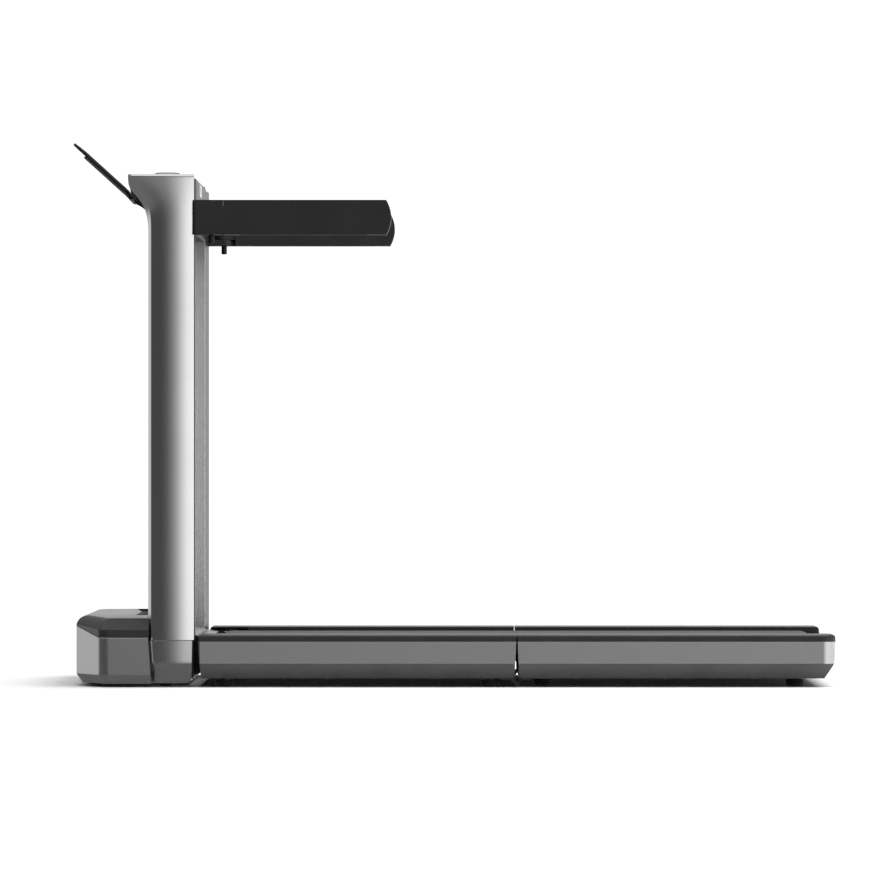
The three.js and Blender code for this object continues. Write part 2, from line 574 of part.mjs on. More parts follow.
// A handle: a hollow grip, open along the middle of its underside, and a knuckle between the bracket's ears.
function handle(side) {
  const [bottom, top] = HANDLE_Z;
  const { x, y } = HANDLE_AXIS;
  const [y0, y1] = span(side, ...HANDLE_Y);
  const root = x + EAR_HALF + 1;
  const tip = arc(HANDLE_END - TIP.radius, (bottom + top) / 2, TIP.radius, -TIP.angle, TIP.angle, 8);
  const grip = solid(alongY([[root, bottom, 1.5], ...tip, [root, top, 1.5]], y0, y1));
  const knuckleOutline = [...arc(x, side * y, EAR_HALF - 1, 90, 270, 12), [root + 1, side * y - EAR_HALF + 5],
    [root + 1, side * y + EAR_HALF - 5]];
  const knuckle = solid(alongZ(knuckleOutline, bottom + EAR_HEIGHT + GAP, top - EAR_HEIGHT - GAP));
  const core = box(root + 7, HANDLE_END - 25, y0 + HANDLE_WALL, y1 - HANDLE_WALL, bottom + 3, top - 6);
  const mouth = box(x + 120, HANDLE_END - 120, y0 + 12, y1 - 12, bottom - 1, bottom + 5);
  const pinHole = rodZ(4 + GAP, bottom, top, x, side * y, 16);
  return cut(cut(grip, core).add(knuckle), pinHole, mouth);
}

function lockPin() {
  const [bottom] = HANDLE_Z;
  return turned([[0, bottom - 16.5], [4.5, bottom - 16.5], [5.5, bottom - 15.5], [5.5, bottom - GAP],
    [4, bottom - GAP], [4, bottom + 25], [0, bottom + 25]], 20);
}

function buildHandles() {
  for (const [name, side] of SIDES) {
    place(`handle_bracket_${name}`, handleBracket(side), darkPlastic);
    place(`handle_${name}`, handle(side), darkPlastic);
    place(`lock_pin_${name}`, lockPin(), blackPlastic, [HANDLE_AXIS.x, side * HANDLE_AXIS.y, 0]);
  }
}

// ---- deck ---------------------------------------------------------------------------------
const HALVES = {
  front: {
    view: [[DECK_FRONT, RAIL_TOP, 5], [SPLIT - 0.8, RAIL_TOP], [SPLIT - 4.5, PAN_BOTTOM],
      [DECK_FRONT + 5, PAN_BOTTOM]],
    plan: [[DECK_FRONT, -HALF_WIDTH, 4], [SPLIT, -HALF_WIDTH], [SPLIT, HALF_WIDTH], [DECK_FRONT, HALF_WIDTH, 4]],
    tube: [-470, 117],
    cross: [-370, -140, 92],
    board: [-405, 122],
    roller: ROLLER_X[0],
  },
  rear: {
    view: [[SPLIT + 0.9, RAIL_TOP], [DECK_REAR - 1.5, RAIL_TOP, 4], [DECK_REAR, 88], [729.7, BAND_BOTTOM],
      [712, PAN_BOTTOM], [SPLIT + 4.2, PAN_BOTTOM]],
    plan: [[SPLIT, -HALF_WIDTH], [DECK_REAR, -HALF_WIDTH, REAR_CORNER], [DECK_REAR, HALF_WIDTH, REAR_CORNER],
      [SPLIT, HALF_WIDTH]],
    tube: [135, 714],
    cross: [163, 400, 640],
    board: [131, 662],
    roller: ROLLER_X[1],
  },
};

const DECK_SECTION = [
  [HALF_WIDTH, RAIL_TOP, 5], [HALF_WIDTH, BAND_BOTTOM], [HALF_WIDTH - PAN_INSET, PAN_BOTTOM],
  [-HALF_WIDTH + PAN_INSET, PAN_BOTTOM], [-HALF_WIDTH, BAND_BOTTOM], [-HALF_WIDTH, RAIL_TOP, 5],
];

// The outer skin of one deck half, as a closed shell of the given wall.
function deckSkin(half, wall) {
  const block = (by) => solid(alongY(inset(half.view, by), -400, 400))
    .intersect(solid(alongZ(inset(half.plan, by), 0, 120, 6)))
    .intersect(solid(alongX(inset(DECK_SECTION, by), -800, 800)));
  return block(0).subtract(block(wall));
}

const PANEL_EDGE = HALF_WIDTH - REAR_CORNER;

function railCover(name, side) {
  const half = HALVES[name];
  const top = solid(box(-800, 800, ...span(side, HALF_INNER, HALF_WIDTH + 1), BAND_TOP + GAP, 120));
  const ends = solid(box(-800, 800, ...span(side, HALF_INNER, PANEL_EDGE - GAP), BAND_BOTTOM + GAP, 120));
  const wall = solid(alongY(inset(half.view, 1), ...span(side, HALF_INNER, HALF_INNER + RAIL_WALL)))
    .intersect(solid(box(-800, 800, -400, 400, 78, 120)));
  const cover = deckSkin(half, RAIL_WALL).intersect(top.add(ends)).add(wall);
  const notch = box(DECK_FRONT - 5, -404, HALF_INNER - 1, 259, 0, 120);
  return cut(cover, notch);
}

function sidePanel(name, side) {
  const band = solid(box(-800, 800, ...span(side, PANEL_EDGE, HALF_WIDTH + 1), BAND_BOTTOM + GAP, BAND_TOP));
  return deckSkin(HALVES[name], RAIL_WALL).intersect(band);
}

function bellyPan(name) {
  const below = solid(box(-800, 800, -400, 400, 0, BAND_BOTTOM));
  const mouth = box(DECK_FRONT - 5, DECK_FRONT + 12, -260, 260, PAN_BOTTOM + PAN_WALL, 60);
  return cut(deckSkin(HALVES[name], PAN_WALL).intersect(below), mouth);
}

function rearEndCap() {
  const slot = solid(box(716, 800, -HALF_INNER + GAP, HALF_INNER - GAP, BAND_BOTTOM + GAP, 84));
  return deckSkin(HALVES.rear, RAIL_WALL).intersect(slot);
}

// Two box tubes joined by three channel cross members, under the running board.
function deckFrame(half) {
  const wall = TUBE_WALL;
  const [front, rear] = half.tube;
  const [bottom, top] = TUBE_Z;
  const tubes = SIDES.map(([, side]) => {
    const [y0, y1] = span(side, ...TUBE_Y);
    return geometryOf(cut(solid(box(front, rear, y0, y1, bottom, top)),
      box(front - 1, rear + 1, y0 + wall, y1 - wall, bottom + wall, top - wall)));
  });
  const reach = TUBE_Y[0] + 1;
  const channels = half.cross.map((x) => alongY([[x - 15, 73], [x + 15, 73], [x + 15, 52], [x + 13, 52],
    [x + 13, 71], [x - 13, 71], [x - 13, 52], [x - 15, 52]], -reach, reach));
  return cut(join(...tubes, ...channels), rodY(AXLE_RADIUS + GAP, -400, 400, half.roller, ROLLER_Z));
}

// Half of the running belt: its upper run, its turn round the roller and its lower run.
function beltHalf(half) {
  const inner = BELT_RADIUS - BELT_THICK;
  const towards = Math.sign(half.roller);
  const [from, to] = towards < 0 ? [90, 270] : [90, -90];
  const end = SPLIT + towards * 1.6;
  const outline = [
    [end, ROLLER_Z + BELT_RADIUS], ...arc(half.roller, ROLLER_Z, BELT_RADIUS, from, to, 14),
    [end, ROLLER_Z - BELT_RADIUS], [end, ROLLER_Z - inner],
    ...arc(half.roller, ROLLER_Z, inner, to, from, 14), [end, ROLLER_Z + inner],
  ];
  return alongY(outline, -BELT_HALF, BELT_HALF);
}

// A roller: a tube on a web in its middle, with its axle; the front one also carries the drive pulley.
function roller(withPulley) {
  const radius = BELT_RADIUS - BELT_THICK - GAP;
  const half = BELT_HALF - 1;
  const axle = AXLE_RADIUS;
  const section = [[0, -306], [axle, -306], [axle, -8], [radius - 3, -8], [radius - 3, -half], [radius, -half],
    [radius, half], [radius - 3, half], [radius - 3, 8], [axle, 8], [axle, 306], [0, 306]];
  const tube = turned(section, 32).rotateX(Math.PI / 2);
  const pulley = rodY(PULLEY_RADIUS.roller - GAP, ...PULLEY_Y, 0, 0, 32);
  return withPulley ? join(tube, pulley) : tube;
}

// One leaf of the hinge between the deck halves, with its knuckles at both sides.
function hingeLeaf(direction) {
  const at = (x, z) => [SPLIT + direction * x, z];
  const under = PAN_BOTTOM - GAP;
  const knuckles = direction < 0 ? [[290, 304.8], [320.2, 335]] : [[305.2, 319.8]];
  const neck = [at(14, under), at(5, under), at(0.5, HINGE_Z + 4), at(3.5, HINGE_Z - 3), at(7, HINGE_Z)];
  const plate = [at(28, under), at(5, under), at(5, under - 3), at(28, under - 3)];
  let leaf = solid(alongY(plate, -335, 335));
  for (const [, side] of SIDES) {
    for (const reach of knuckles) {
      leaf = leaf.add(solid(alongY(neck, ...span(side, ...reach))));
      leaf = leaf.add(solid(rodY(HINGE_RADIUS, ...span(side, ...reach), SPLIT, HINGE_Z, 20)));
    }
    const pin = rodY(2.2 + (direction < 0 ? 0 : GAP), ...span(side, 285, 340), SPLIT, HINGE_Z, 12);
    const pinSpan = rodY(2.2, ...span(side, 291, 334), SPLIT, HINGE_Z, 12);
    leaf = direction < 0 ? leaf.add(solid(pinSpan)) : leaf.subtract(solid(pin));
  }
  return leaf;
}

function deckFoot() {
  const top = PAN_BOTTOM - GAP;
  return turned([[0, 0], [FOOT_RADIUS - 3, 0], [FOOT_RADIUS, 3], [FOOT_RADIUS, top - 4], [FOOT_RADIUS - 3, top],
    [0, top]], 28);
}

function buildDeck() {
  for (const [name, half] of Object.entries(HALVES)) {
    const isFront = name === 'front';
    place(`${name}_deck_frame`, deckFrame(half), steel);
    place(`${name}_running_board`, box(...half.board, -240, 240, 73 + GAP, 89.7), board);
    place(`${name}_belt`, beltHalf(half), beltRubber);
    place(`${name}_roller`, roller(isFront), brightSteel, [half.roller, 0, ROLLER_Z]);
    place(`${name}_belly_pan`, bellyPan(name), blackPlastic);
    place(`hinge_leaf_${name}`, hingeLeaf(isFront ? -1 : 1), steel);
    for (const [sideName, side] of SIDES) {
      place(`${name}_rail_cover_${sideName}`, railCover(name, side), darkPlastic);
      place(`${name}_side_panel_${sideName}`, sidePanel(name, side), silver);
      FOOT_X[name].forEach((x, index) => {
        place(`${name}_deck_foot_${sideName}_${index + 1}`, deckFoot(), rubber, [x, side * FOOT_Y[name], 0]);
      });
    }
  }
  place('rear_end_cap', rearEndCap(), darkPlastic);
}

buildBase();
buildConsole();
buildHandles();
buildDeck();

export default treadmill;
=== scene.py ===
"""A double-folding treadmill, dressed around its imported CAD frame.

The frame holds every part at its real size, +Z up, +X towards the rear of the deck. Here each part gets its
finished surface: softened edges, finer curves, seams and a procedural material. Lengths are in metres.
"""

import json
import math

import bmesh
import bpy
from mathutils import Matrix, Vector


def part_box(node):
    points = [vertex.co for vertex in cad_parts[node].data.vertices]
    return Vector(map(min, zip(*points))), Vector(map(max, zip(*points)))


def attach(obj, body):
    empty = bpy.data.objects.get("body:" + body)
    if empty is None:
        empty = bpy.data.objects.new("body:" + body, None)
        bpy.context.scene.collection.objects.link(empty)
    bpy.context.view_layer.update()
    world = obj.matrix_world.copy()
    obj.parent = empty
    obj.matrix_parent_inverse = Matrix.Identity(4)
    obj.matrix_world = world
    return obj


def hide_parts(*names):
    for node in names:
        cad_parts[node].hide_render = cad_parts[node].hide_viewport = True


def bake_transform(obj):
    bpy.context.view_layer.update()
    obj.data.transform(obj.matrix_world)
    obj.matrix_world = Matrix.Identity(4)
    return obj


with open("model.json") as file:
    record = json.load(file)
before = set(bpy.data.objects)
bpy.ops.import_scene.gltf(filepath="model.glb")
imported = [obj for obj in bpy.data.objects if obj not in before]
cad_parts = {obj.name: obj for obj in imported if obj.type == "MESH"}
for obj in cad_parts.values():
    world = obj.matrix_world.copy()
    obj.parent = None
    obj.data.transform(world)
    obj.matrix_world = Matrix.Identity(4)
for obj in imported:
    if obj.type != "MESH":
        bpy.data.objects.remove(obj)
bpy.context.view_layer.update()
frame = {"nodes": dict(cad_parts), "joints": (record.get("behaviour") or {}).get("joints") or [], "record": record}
NODES = frame["nodes"]
BODY_OF = {node: body for body, nodes in frame["record"]["behaviour"]["bodies"].items() for node in nodes}
SLOT_OF = {part["node"]: part["material_slot"] for part in frame["record"]["subparts"]}
JOINTS = {joint["name"]: joint for joint in frame["joints"]}
SIDES = (("left", -1), ("right", 1))
HALVES = ("front", "rear")

# ---- places taken from the frame ----
COLUMN_LOW, COLUMN_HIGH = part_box("column_left")
FOOT_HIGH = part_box("column_foot_left")[1]
CONSOLE_LOW, CONSOLE_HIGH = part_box("console_shell")
BASE_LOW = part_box("base_skirt")[0]
HANDLE_LOW, HANDLE_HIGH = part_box("handle_left")
KNOB_LOW, KNOB_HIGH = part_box("knob")
BELT_LOW, BELT_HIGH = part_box("front_belt")
REAR_BELT_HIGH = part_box("rear_belt")[1]
HALF_WIDTH = -COLUMN_LOW.y
HALF_INNER = -COLUMN_HIGH.y
SPLIT = JOINTS["deck_fold"]["pos_m"][0]
KNOB_CENTRE = ((KNOB_LOW.x + KNOB_HIGH.x) / 2, 0.0, 0.0)
KNOB_RADIUS = (KNOB_HIGH.x - KNOB_LOW.x) / 2
KNOB_BORE = 0.0085
GAP = 0.0004


def link(name, data):
    """A new object in the scene, made from its mesh, light or camera."""
    thing = bpy.data.objects.new(name, data)
    bpy.context.scene.collection.objects.link(thing)
    return thing


# ---- camera ----
def add_camera():
    """A long lens from the runner's left side, a little above deck height."""
    distance = 12.77
    height = 0.443
    data = bpy.data.cameras.new("camera")
    data.lens = 271.3
    data.sensor_width = 36.0
    data.clip_end = 100.0
    camera = link("camera", data)
    camera.location = (0.022, -HALF_WIDTH - distance, height)
    camera.rotation_euler = (math.radians(90.111), 0.0, math.radians(0.136))
    bpy.context.scene.camera = camera


# ---- material nodes ----
class Surface:
    """A material being built: its shader and short ways to add texture nodes."""

    def __init__(self, name, color, roughness, metallic=0.0, **settings):
        self.material = bpy.data.materials.new(name)
        self.material.use_nodes = True
        self.tree = self.material.node_tree
        self.shader = self.tree.nodes["Principled BSDF"]
        self.set("Base Color", (*color, 1.0))
        self.set("Roughness", roughness)
        self.set("Metallic", metallic)
        for socket, value in settings.items():
            self.set(socket.replace("_", " ").title().replace("Ior", "IOR"), value)
        self.height = None
        self.place = self.add("ShaderNodeTexCoord").outputs["Object"]

    def set(self, socket, value):
        self.shader.inputs[socket].default_value = value

    def add(self, kind, **inputs):
        node = self.tree.nodes.new(kind)
        for socket, value in inputs.items():
            self.feed(node.inputs[socket.replace("_", " ")], value)
        return node

    def feed(self, socket, value):
        if isinstance(value, bpy.types.NodeSocket):
            self.tree.links.new(value, socket)
        else:
            socket.default_value = value

    def stretched(self, x, y, z, turn=0.0):
        """The surface's coordinates scaled on each axis, and turned about Z."""
        mapping = self.add("ShaderNodeMapping", Vector=self.place, Scale=(x, y, z), Rotation=(0.0, 0.0, turn))
        return mapping.outputs["Vector"]

    def noise(self, scale, detail=2.0, roughness=0.5, place=None):
        node = self.add("ShaderNodeTexNoise", Vector=place or self.place, Scale=scale, Detail=detail,
                        Roughness=roughness)
        return node.outputs["Fac"]

    def cells(self, scale, feature="F1"):
        node = self.add("ShaderNodeTexVoronoi", Vector=self.place, Scale=scale)
        node.feature = feature
        return node.outputs["Distance"]

    def bands(self, scale, turn):
        """Parallel waves across a direction turned about Z."""
        place = self.stretched(1.0, 1.0, 1.0, turn)
        return self.add("ShaderNodeTexWave", Vector=place, Scale=scale).outputs["Fac"]

    def product(self, first, second):
        node = self.add("ShaderNodeMath")
        node.operation = "MULTIPLY"
        self.feed(node.inputs[0], first)
        self.feed(node.inputs[1], second)
        return node.outputs["Value"]

    def between(self, value, low, high):
        """Maps the usual span of a texture value to a range."""
        node = self.add("ShaderNodeMapRange", Value=value, From_Min=0.3, From_Max=0.7, To_Min=low,
                        To_Max=high)
        return node.outputs["Result"]

    def rough(self, value, low, high):
        self.feed(self.shader.inputs["Roughness"], self.between(value, low, high))

    def tint(self, value, dark, light):
        """Colour that varies between two colours."""
        node = self.add("ShaderNodeMix")
        node.data_type = "RGBA"
        self.feed(node.inputs["Factor"], self.between(value, 0.0, 1.0))
        node.inputs["A"].default_value = (*dark, 1.0)
        node.inputs["B"].default_value = (*light, 1.0)
        self.feed(self.shader.inputs["Base Color"], node.outputs["Result"])

    def vary(self, value, color, low, high):
        """One colour whose brightness varies between two shares of it."""
        self.tint(value, [c * low for c in color], [min(1.0, c * high) for c in color])

    def bump(self, height, depth, strength=1.0):
        """Adds a bump of the given depth in metres on top of any earlier one."""
        node = self.add("ShaderNodeBump", Height=height, Strength=strength, Distance=depth)
        if self.height is not None:
            self.feed(node.inputs["Normal"], self.height)
        self.height = node.outputs["Normal"]
        self.feed(self.shader.inputs["Normal"], self.height)


# ---- materials ----
BELT_MAP = "unrolled"


def anodised(name, color, roughness):
    """Bead-blasted, anodised aluminium: a fine even sparkle with a soft cloudiness."""
    surface = Surface(name, color, roughness, metallic=1.0)
    cloud = surface.noise(6.0, 3.0)
    surface.vary(cloud, color, 0.97, 1.02)
    surface.rough(surface.noise(420.0, 3.0), roughness - 0.015, roughness + 0.02)
    surface.bump(surface.noise(900.0, 1.0), 0.000001, 0.3)
    return surface.material


def brushed(name, color, roughness):
    """Aluminium brushed along the length of the machine."""
    surface = Surface(name, color, roughness, metallic=1.0)
    lines = surface.noise(1.0, 4.0, 0.6, surface.stretched(9.0, 1900.0, 1900.0))
    surface.vary(lines, color, 0.93, 1.05)
    surface.rough(lines, roughness - 0.05, roughness + 0.08)
    surface.bump(lines, 0.00002, 0.6)
    return surface.material


def metallic_paint(name, color, roughness):
    """Silver paint on a moulded housing: fine flakes under a thin clear coat."""
    surface = Surface(name, color, roughness, metallic=0.9, coat_weight=0.25, coat_roughness=0.25)
    flakes = surface.cells(2400.0)
    surface.vary(flakes, color, 0.94, 1.05)
    surface.rough(surface.noise(700.0), roughness - 0.02, roughness + 0.03)
    surface.bump(surface.noise(90.0, 2.0), 0.00001, 0.3)
    return surface.material


def moulded(name, color, roughness, grain=900.0, depth=0.00005):
    """Moulded plastic with a fine spark-eroded grain and slightly polished high spots."""
    surface = Surface(name, color, roughness, specular_ior_level=0.45)
    cells = surface.cells(grain, "SMOOTH_F1")
    cloud = surface.noise(14.0, 3.0)
    surface.vary(cloud, color, 0.9, 1.12)
    surface.rough(cells, roughness - 0.06, roughness + 0.08)
    surface.bump(cells, depth, 0.7)
    surface.bump(surface.noise(grain * 2.3, 2.0), depth * 0.5, 0.5)
    return surface.material


def rubber(name, color, roughness):
    """Matte rubber with a soft uneven bloom."""
    surface = Surface(name, color, roughness, specular_ior_level=0.3)
    surface.vary(surface.noise(60.0, 4.0), color, 1.0, 1.5)
    surface.rough(surface.noise(300.0, 3.0), roughness - 0.08, roughness + 0.05)
    surface.bump(surface.noise(1500.0, 3.0), 0.00006, 0.6)
    return surface.material


def running_belt(name):
    """Woven-backed PVC with a fine diamond tread, which follows the belt's own UV map in metres."""
    surface = Surface(name, (0.035, 0.035, 0.037), 0.5, specular_ior_level=0.5)
    unrolled = surface.add("ShaderNodeUVMap")
    unrolled.uv_map = BELT_MAP
    surface.place = unrolled.outputs["UV"]
    waves = [surface.bands(40.0, math.radians(angle)) for angle in (35, -35)]
    tread = surface.product(*waves)
    surface.tint(tread, (0.032, 0.032, 0.0335), (0.050, 0.050, 0.053))
    surface.rough(surface.noise(8.0, 4.0), 0.47, 0.53)
    surface.bump(tread, 0.0004, 0.8)
    surface.bump(surface.noise(2200.0, 2.0), 0.00004, 0.5)
    return surface.material


def powder_coat(name, color, roughness):
    """Powder-coated steel with orange peel."""
    surface = Surface(name, color, roughness, specular_ior_level=0.5)
    surface.vary(surface.noise(40.0, 3.0), color, 0.85, 1.2)
    surface.rough(surface.noise(250.0), roughness - 0.05, roughness + 0.08)
    surface.bump(surface.noise(420.0, 2.0), 0.00012, 0.6)
    return surface.material


def turned_steel(name, color, roughness):
    """Bright turned steel with fine machining lines round its axis."""
    surface = Surface(name, color, roughness, metallic=1.0)
    lines = surface.noise(1.0, 3.0, 0.5, surface.stretched(60.0, 2400.0, 60.0))
    surface.vary(lines, color, 0.85, 1.0)
    surface.rough(lines, roughness - 0.06, roughness + 0.1)
    surface.bump(lines, 0.00002, 0.5)
    return surface.material


def fibreboard(name):
    """Waxed fibreboard."""
    surface = Surface(name, (0.30, 0.20, 0.11), 0.6)
    surface.tint(surface.noise(180.0, 5.0, 0.7), (0.22, 0.14, 0.075), (0.40, 0.28, 0.16))
    surface.rough(surface.noise(90.0), 0.5, 0.7)
    surface.bump(surface.noise(800.0, 3.0), 0.0001, 0.6)
    return surface.material


def circuit(name):
    """Green solder mask over copper tracks."""
    surface = Surface(name, (0.01, 0.09, 0.04), 0.35, specular_ior_level=0.5)
    tracks = surface.cells(170.0, "DISTANCE_TO_EDGE")
    surface.tint(tracks, (0.03, 0.16, 0.07), (0.008, 0.07, 0.03))
    surface.rough(surface.noise(500.0), 0.3, 0.42)
    surface.bump(tracks, 0.00005, 0.6)
    return surface.material


def tinted_window(name):
    """Smoked display window."""
    surface = Surface(name, (0.012, 0.013, 0.012), 0.12, specular_ior_level=0.6)
    surface.rough(surface.noise(30.0, 3.0), 0.08, 0.18)
    surface.bump(surface.noise(400.0), 0.00001, 0.3)
    return surface.material


def lit(name, color, strength):
    """A light-emitting segment, with the slight unevenness of its diffuser."""
    surface = Surface(name, color, 0.4, emission_color=(*color, 1.0), emission_strength=strength)
    surface.rough(surface.noise(900.0), 0.35, 0.5)
    surface.bump(surface.noise(1500.0), 0.00002, 0.4)
    return surface.material


MATERIALS = {
    "silver_shell": metallic_paint("silver_shell", (0.49, 0.492, 0.498), 0.20),
    "column_silver": anodised("column_silver", (0.82, 0.82, 0.83), 0.19),
    "dark_plastic": moulded("dark_plastic", (0.026, 0.0265, 0.029), 0.40),
    "handle_shell": moulded("handle_shell", (0.026, 0.0265, 0.028), 0.42, 1300.0),
    "grey_plastic": moulded("grey_plastic", (0.10, 0.10, 0.104), 0.5, 700.0),
    "black_plastic": moulded("black_plastic", (0.013, 0.013, 0.014), 0.42),
    "knob_silver": anodised("knob_silver", (0.42, 0.42, 0.43), 0.24),
    "side_aluminium": brushed("side_aluminium", (0.72, 0.722, 0.73), 0.22),
    "bracket_aluminium": anodised("bracket_aluminium", (0.45, 0.455, 0.465), 0.34),
    "frame_steel": powder_coat("frame_steel", (0.030, 0.031, 0.033), 0.42),
    "bright_steel": turned_steel("bright_steel", (0.62, 0.62, 0.63), 0.3),
    "running_belt": running_belt("running_belt"),
    "rubber": rubber("rubber", (0.014, 0.014, 0.015), 0.7),
    "running_board": fibreboard("running_board"),
    "circuit_board": circuit("circuit_board"),
    "display": tinted_window("display"),
}
LED = lit("display_light", (0.60, 0.74, 0.14), 0.36)
HOOD_FINISH = moulded("hood_plastic", (0.028, 0.0285, 0.031), 0.27)


# ---- mesh helpers ----
def from_bmesh(name, shape, smooth_angle=35.0):
    """Turns a bmesh into an object, smooth except at edges sharper than the angle."""
    mesh = bpy.data.meshes.new(name)
    bmesh.ops.recalc_face_normals(shape, faces=shape.faces)
    shape.to_mesh(mesh)
    shape.free()
    mesh.shade_smooth()
    mesh.set_sharp_from_angle(angle=math.radians(smooth_angle))
    return link(name, mesh)


def weight_edges(piece, weight_at, angle=28.0):
    """Marks the piece's sharp edges for rounding, with a weight that depends on where an edge is."""
    shape = bmesh.new()
    shape.from_mesh(piece.data)
    layer = shape.edges.layers.float.new("bevel_weight_edge")
    for edge in shape.edges:
        if edge.is_manifold and edge.calc_face_angle(0.0) > math.radians(angle):
            edge[layer] = weight_at((edge.verts[0].co + edge.verts[1].co) / 2)
    shape.to_mesh(piece.data)
    shape.free()


def soften(piece, width, segments=3, angle=30.0, limit="ANGLE"):
    """Rounds the piece's edges, as moulding or deburring does."""
    bevel = piece.modifiers.new("soft_edges", "BEVEL")
    bevel.width = width
    bevel.segments = segments
    bevel.limit_method = limit
    bevel.angle_limit = math.radians(angle)
    bevel.use_clamp_overlap = True
    bevel.miter_outer = "MITER_ARC"
    return even_shading(piece)


def even_shading(piece):
    """Lets the large faces, not the narrow ones beside them, decide how the surface is shaded."""
    normals = piece.modifiers.new("even_shading", "WEIGHTED_NORMAL")
    normals.keep_sharp = True
    return piece


def dress(piece, body, slot, *nodes, material=None):
    """Gives a piece its material and body, and hides the nodes it stands for."""
    piece.data.materials.clear()
    piece.data.materials.append(material or MATERIALS[slot])
    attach(piece, body)
    if nodes:
        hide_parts(*nodes)


def refined(node, width=0.0008, name=None):
    """A copy of a CAD node with whole faces and softened edges, which stands for the node."""
    shape = bmesh.new()
    shape.from_mesh(NODES[node].data)
    bmesh.ops.remove_doubles(shape, verts=shape.verts, dist=1e-5)
    bmesh.ops.dissolve_limit(shape, angle_limit=math.radians(1.0), verts=shape.verts, edges=shape.edges)
    piece = from_bmesh(name or f"{node}_finish", shape)
    soften(piece, width, 2)
    dress(piece, BODY_OF[node], SLOT_OF[node], node)


def arc(centre, radius, start, end, steps):
    """Points on an arc, angles in degrees."""
    angles = [math.radians(start + (end - start) * step / steps) for step in range(steps + 1)]
    return [(centre[0] + radius * math.cos(a), centre[1] + radius * math.sin(a)) for a in angles]


def rounded(corners, steps=6):
    """An outline of (u, v, radius) corners, with each corner as an arc."""
    points = []
    count = len(corners)
    for index, (u, v, radius) in enumerate(corners):
        here = Vector((u, v))
        if radius <= 0.0:
            points.append(tuple(here))
            continue
        back = (Vector(corners[index - 1][:2]) - here).normalized()
        forth = (Vector(corners[(index + 1) % count][:2]) - here).normalized()
        half = back.angle(forth) / 2
        centre = here + (back + forth).normalized() * (radius / math.sin(half))
        start = here + back * (radius / math.tan(half)) - centre
        end = here + forth * (radius / math.tan(half)) - centre
        sweep = math.atan2(start.x * end.y - start.y * end.x, start.dot(end))
        for step in range(steps + 1):
            turn = sweep * step / steps
            x = start.x * math.cos(turn) - start.y * math.sin(turn)
            y = start.x * math.sin(turn) + start.y * math.cos(turn)
            points.append((centre.x + x, centre.y + y))
    return points


def rectangle(low_u, low_v, high_u, high_v, radius=0.0):
    """A rectangular outline, with rounded corners where a radius is given."""
    return rounded([(low_u, low_v, radius), (high_u, low_v, radius), (high_u, high_v, radius),
                    (low_u, high_v, radius)])


# How an outline point (u, v) and a depth w become a point, for each axis that an outline is carried along.
ALONG = {"X": lambda u, v, w: (w, u, v), "Y": lambda u, v, w: (u, w, v), "Z": lambda u, v, w: (u, v, w)}


def join_rings(shape, lower, upper):
    """Faces between two closed rings of vertices."""
    count = len(lower)
    for k in range(count):
        after = (k + 1) % count
        shape.faces.new((lower[k], lower[after], upper[after], upper[k]))


def loft(name, rings, smooth_angle=35.0):
    """Closed rings of points joined one to the next, and capped."""
    shape = bmesh.new()
    layers = [[shape.verts.new(point) for point in ring] for ring in rings]
    for lower, upper in zip(layers, layers[1:]):
        join_rings(shape, lower, upper)
    shape.faces.new(layers[0])
    shape.faces.new(layers[-1])
    return from_bmesh(name, shape, smooth_angle)


def prism(name, outline, axis, low, high, smooth_angle=35.0):
    """An outline carried along an axis, closed at both ends."""
    rings = [[ALONG[axis](u, v, w) for u, v in outline] for w in (low, high)]
    return loft(name, rings, smooth_angle)


def side_prism(name, outline, side, inner, outer):
    """A prism along Y on one side of the machine, between two distances from its middle."""
    low, high = sorted((side * inner, side * outer))
    return prism(name, outline, "Y", low, high)


def turned(name, profile, centre, axis="Z", segments=64):
    """A turned piece: a profile of (radius, height) points spun round an axis through the centre."""
    shape = bmesh.new()
    rings = []
    for radius, height in profile:
        count = segments if radius > 0.0 else 1
        angles = [2 * math.pi * k / segments for k in range(count)]
        rings.append([shape.verts.new(spun_point(radius, angle, height, centre, axis)) for angle in angles])
    for lower, upper in zip(rings, rings[1:]):
        for k in range(segments):
            after = (k + 1) % segments
            corners = [lower[k % len(lower)], lower[after % len(lower)], upper[after % len(upper)],
                       upper[k % len(upper)]]
            unique = list(dict.fromkeys(corners))
            if len(unique) > 2:
                shape.faces.new(unique)
    return from_bmesh(name, shape)


def spun_point(radius, angle, height, centre, axis):
    """A point on a circle round an axis through the centre."""
    offset = ALONG[axis](radius * math.cos(angle), radius * math.sin(angle), height)
    return tuple(Vector(centre) + Vector(offset))


def carve(piece, *tools, joined=()):
    """Joins some bodies to the piece, cuts the tools out of it, and removes them all."""
    for operation, bodies in (("UNION", joined), ("DIFFERENCE", tools)):
        for body in bodies:
            step = piece.modifiers.new("step", "BOOLEAN")
            step.operation = operation
            step.solver = "EXACT"
            step.object = body
    bpy.context.view_layer.update()
    evaluated = piece.evaluated_get(bpy.context.evaluated_depsgraph_get())
    mesh = bpy.data.meshes.new_from_object(evaluated)
    piece.modifiers.clear()
    piece.data = mesh
    for body in (*joined, *tools):
        bpy.data.objects.remove(body)
    piece.data.shade_smooth()
    piece.data.set_sharp_from_angle(angle=math.radians(35.0))


# ---- columns ----
# How far a column's convex outer face falls back at its front and rear edges.
EDGE_FALL = 0.0085
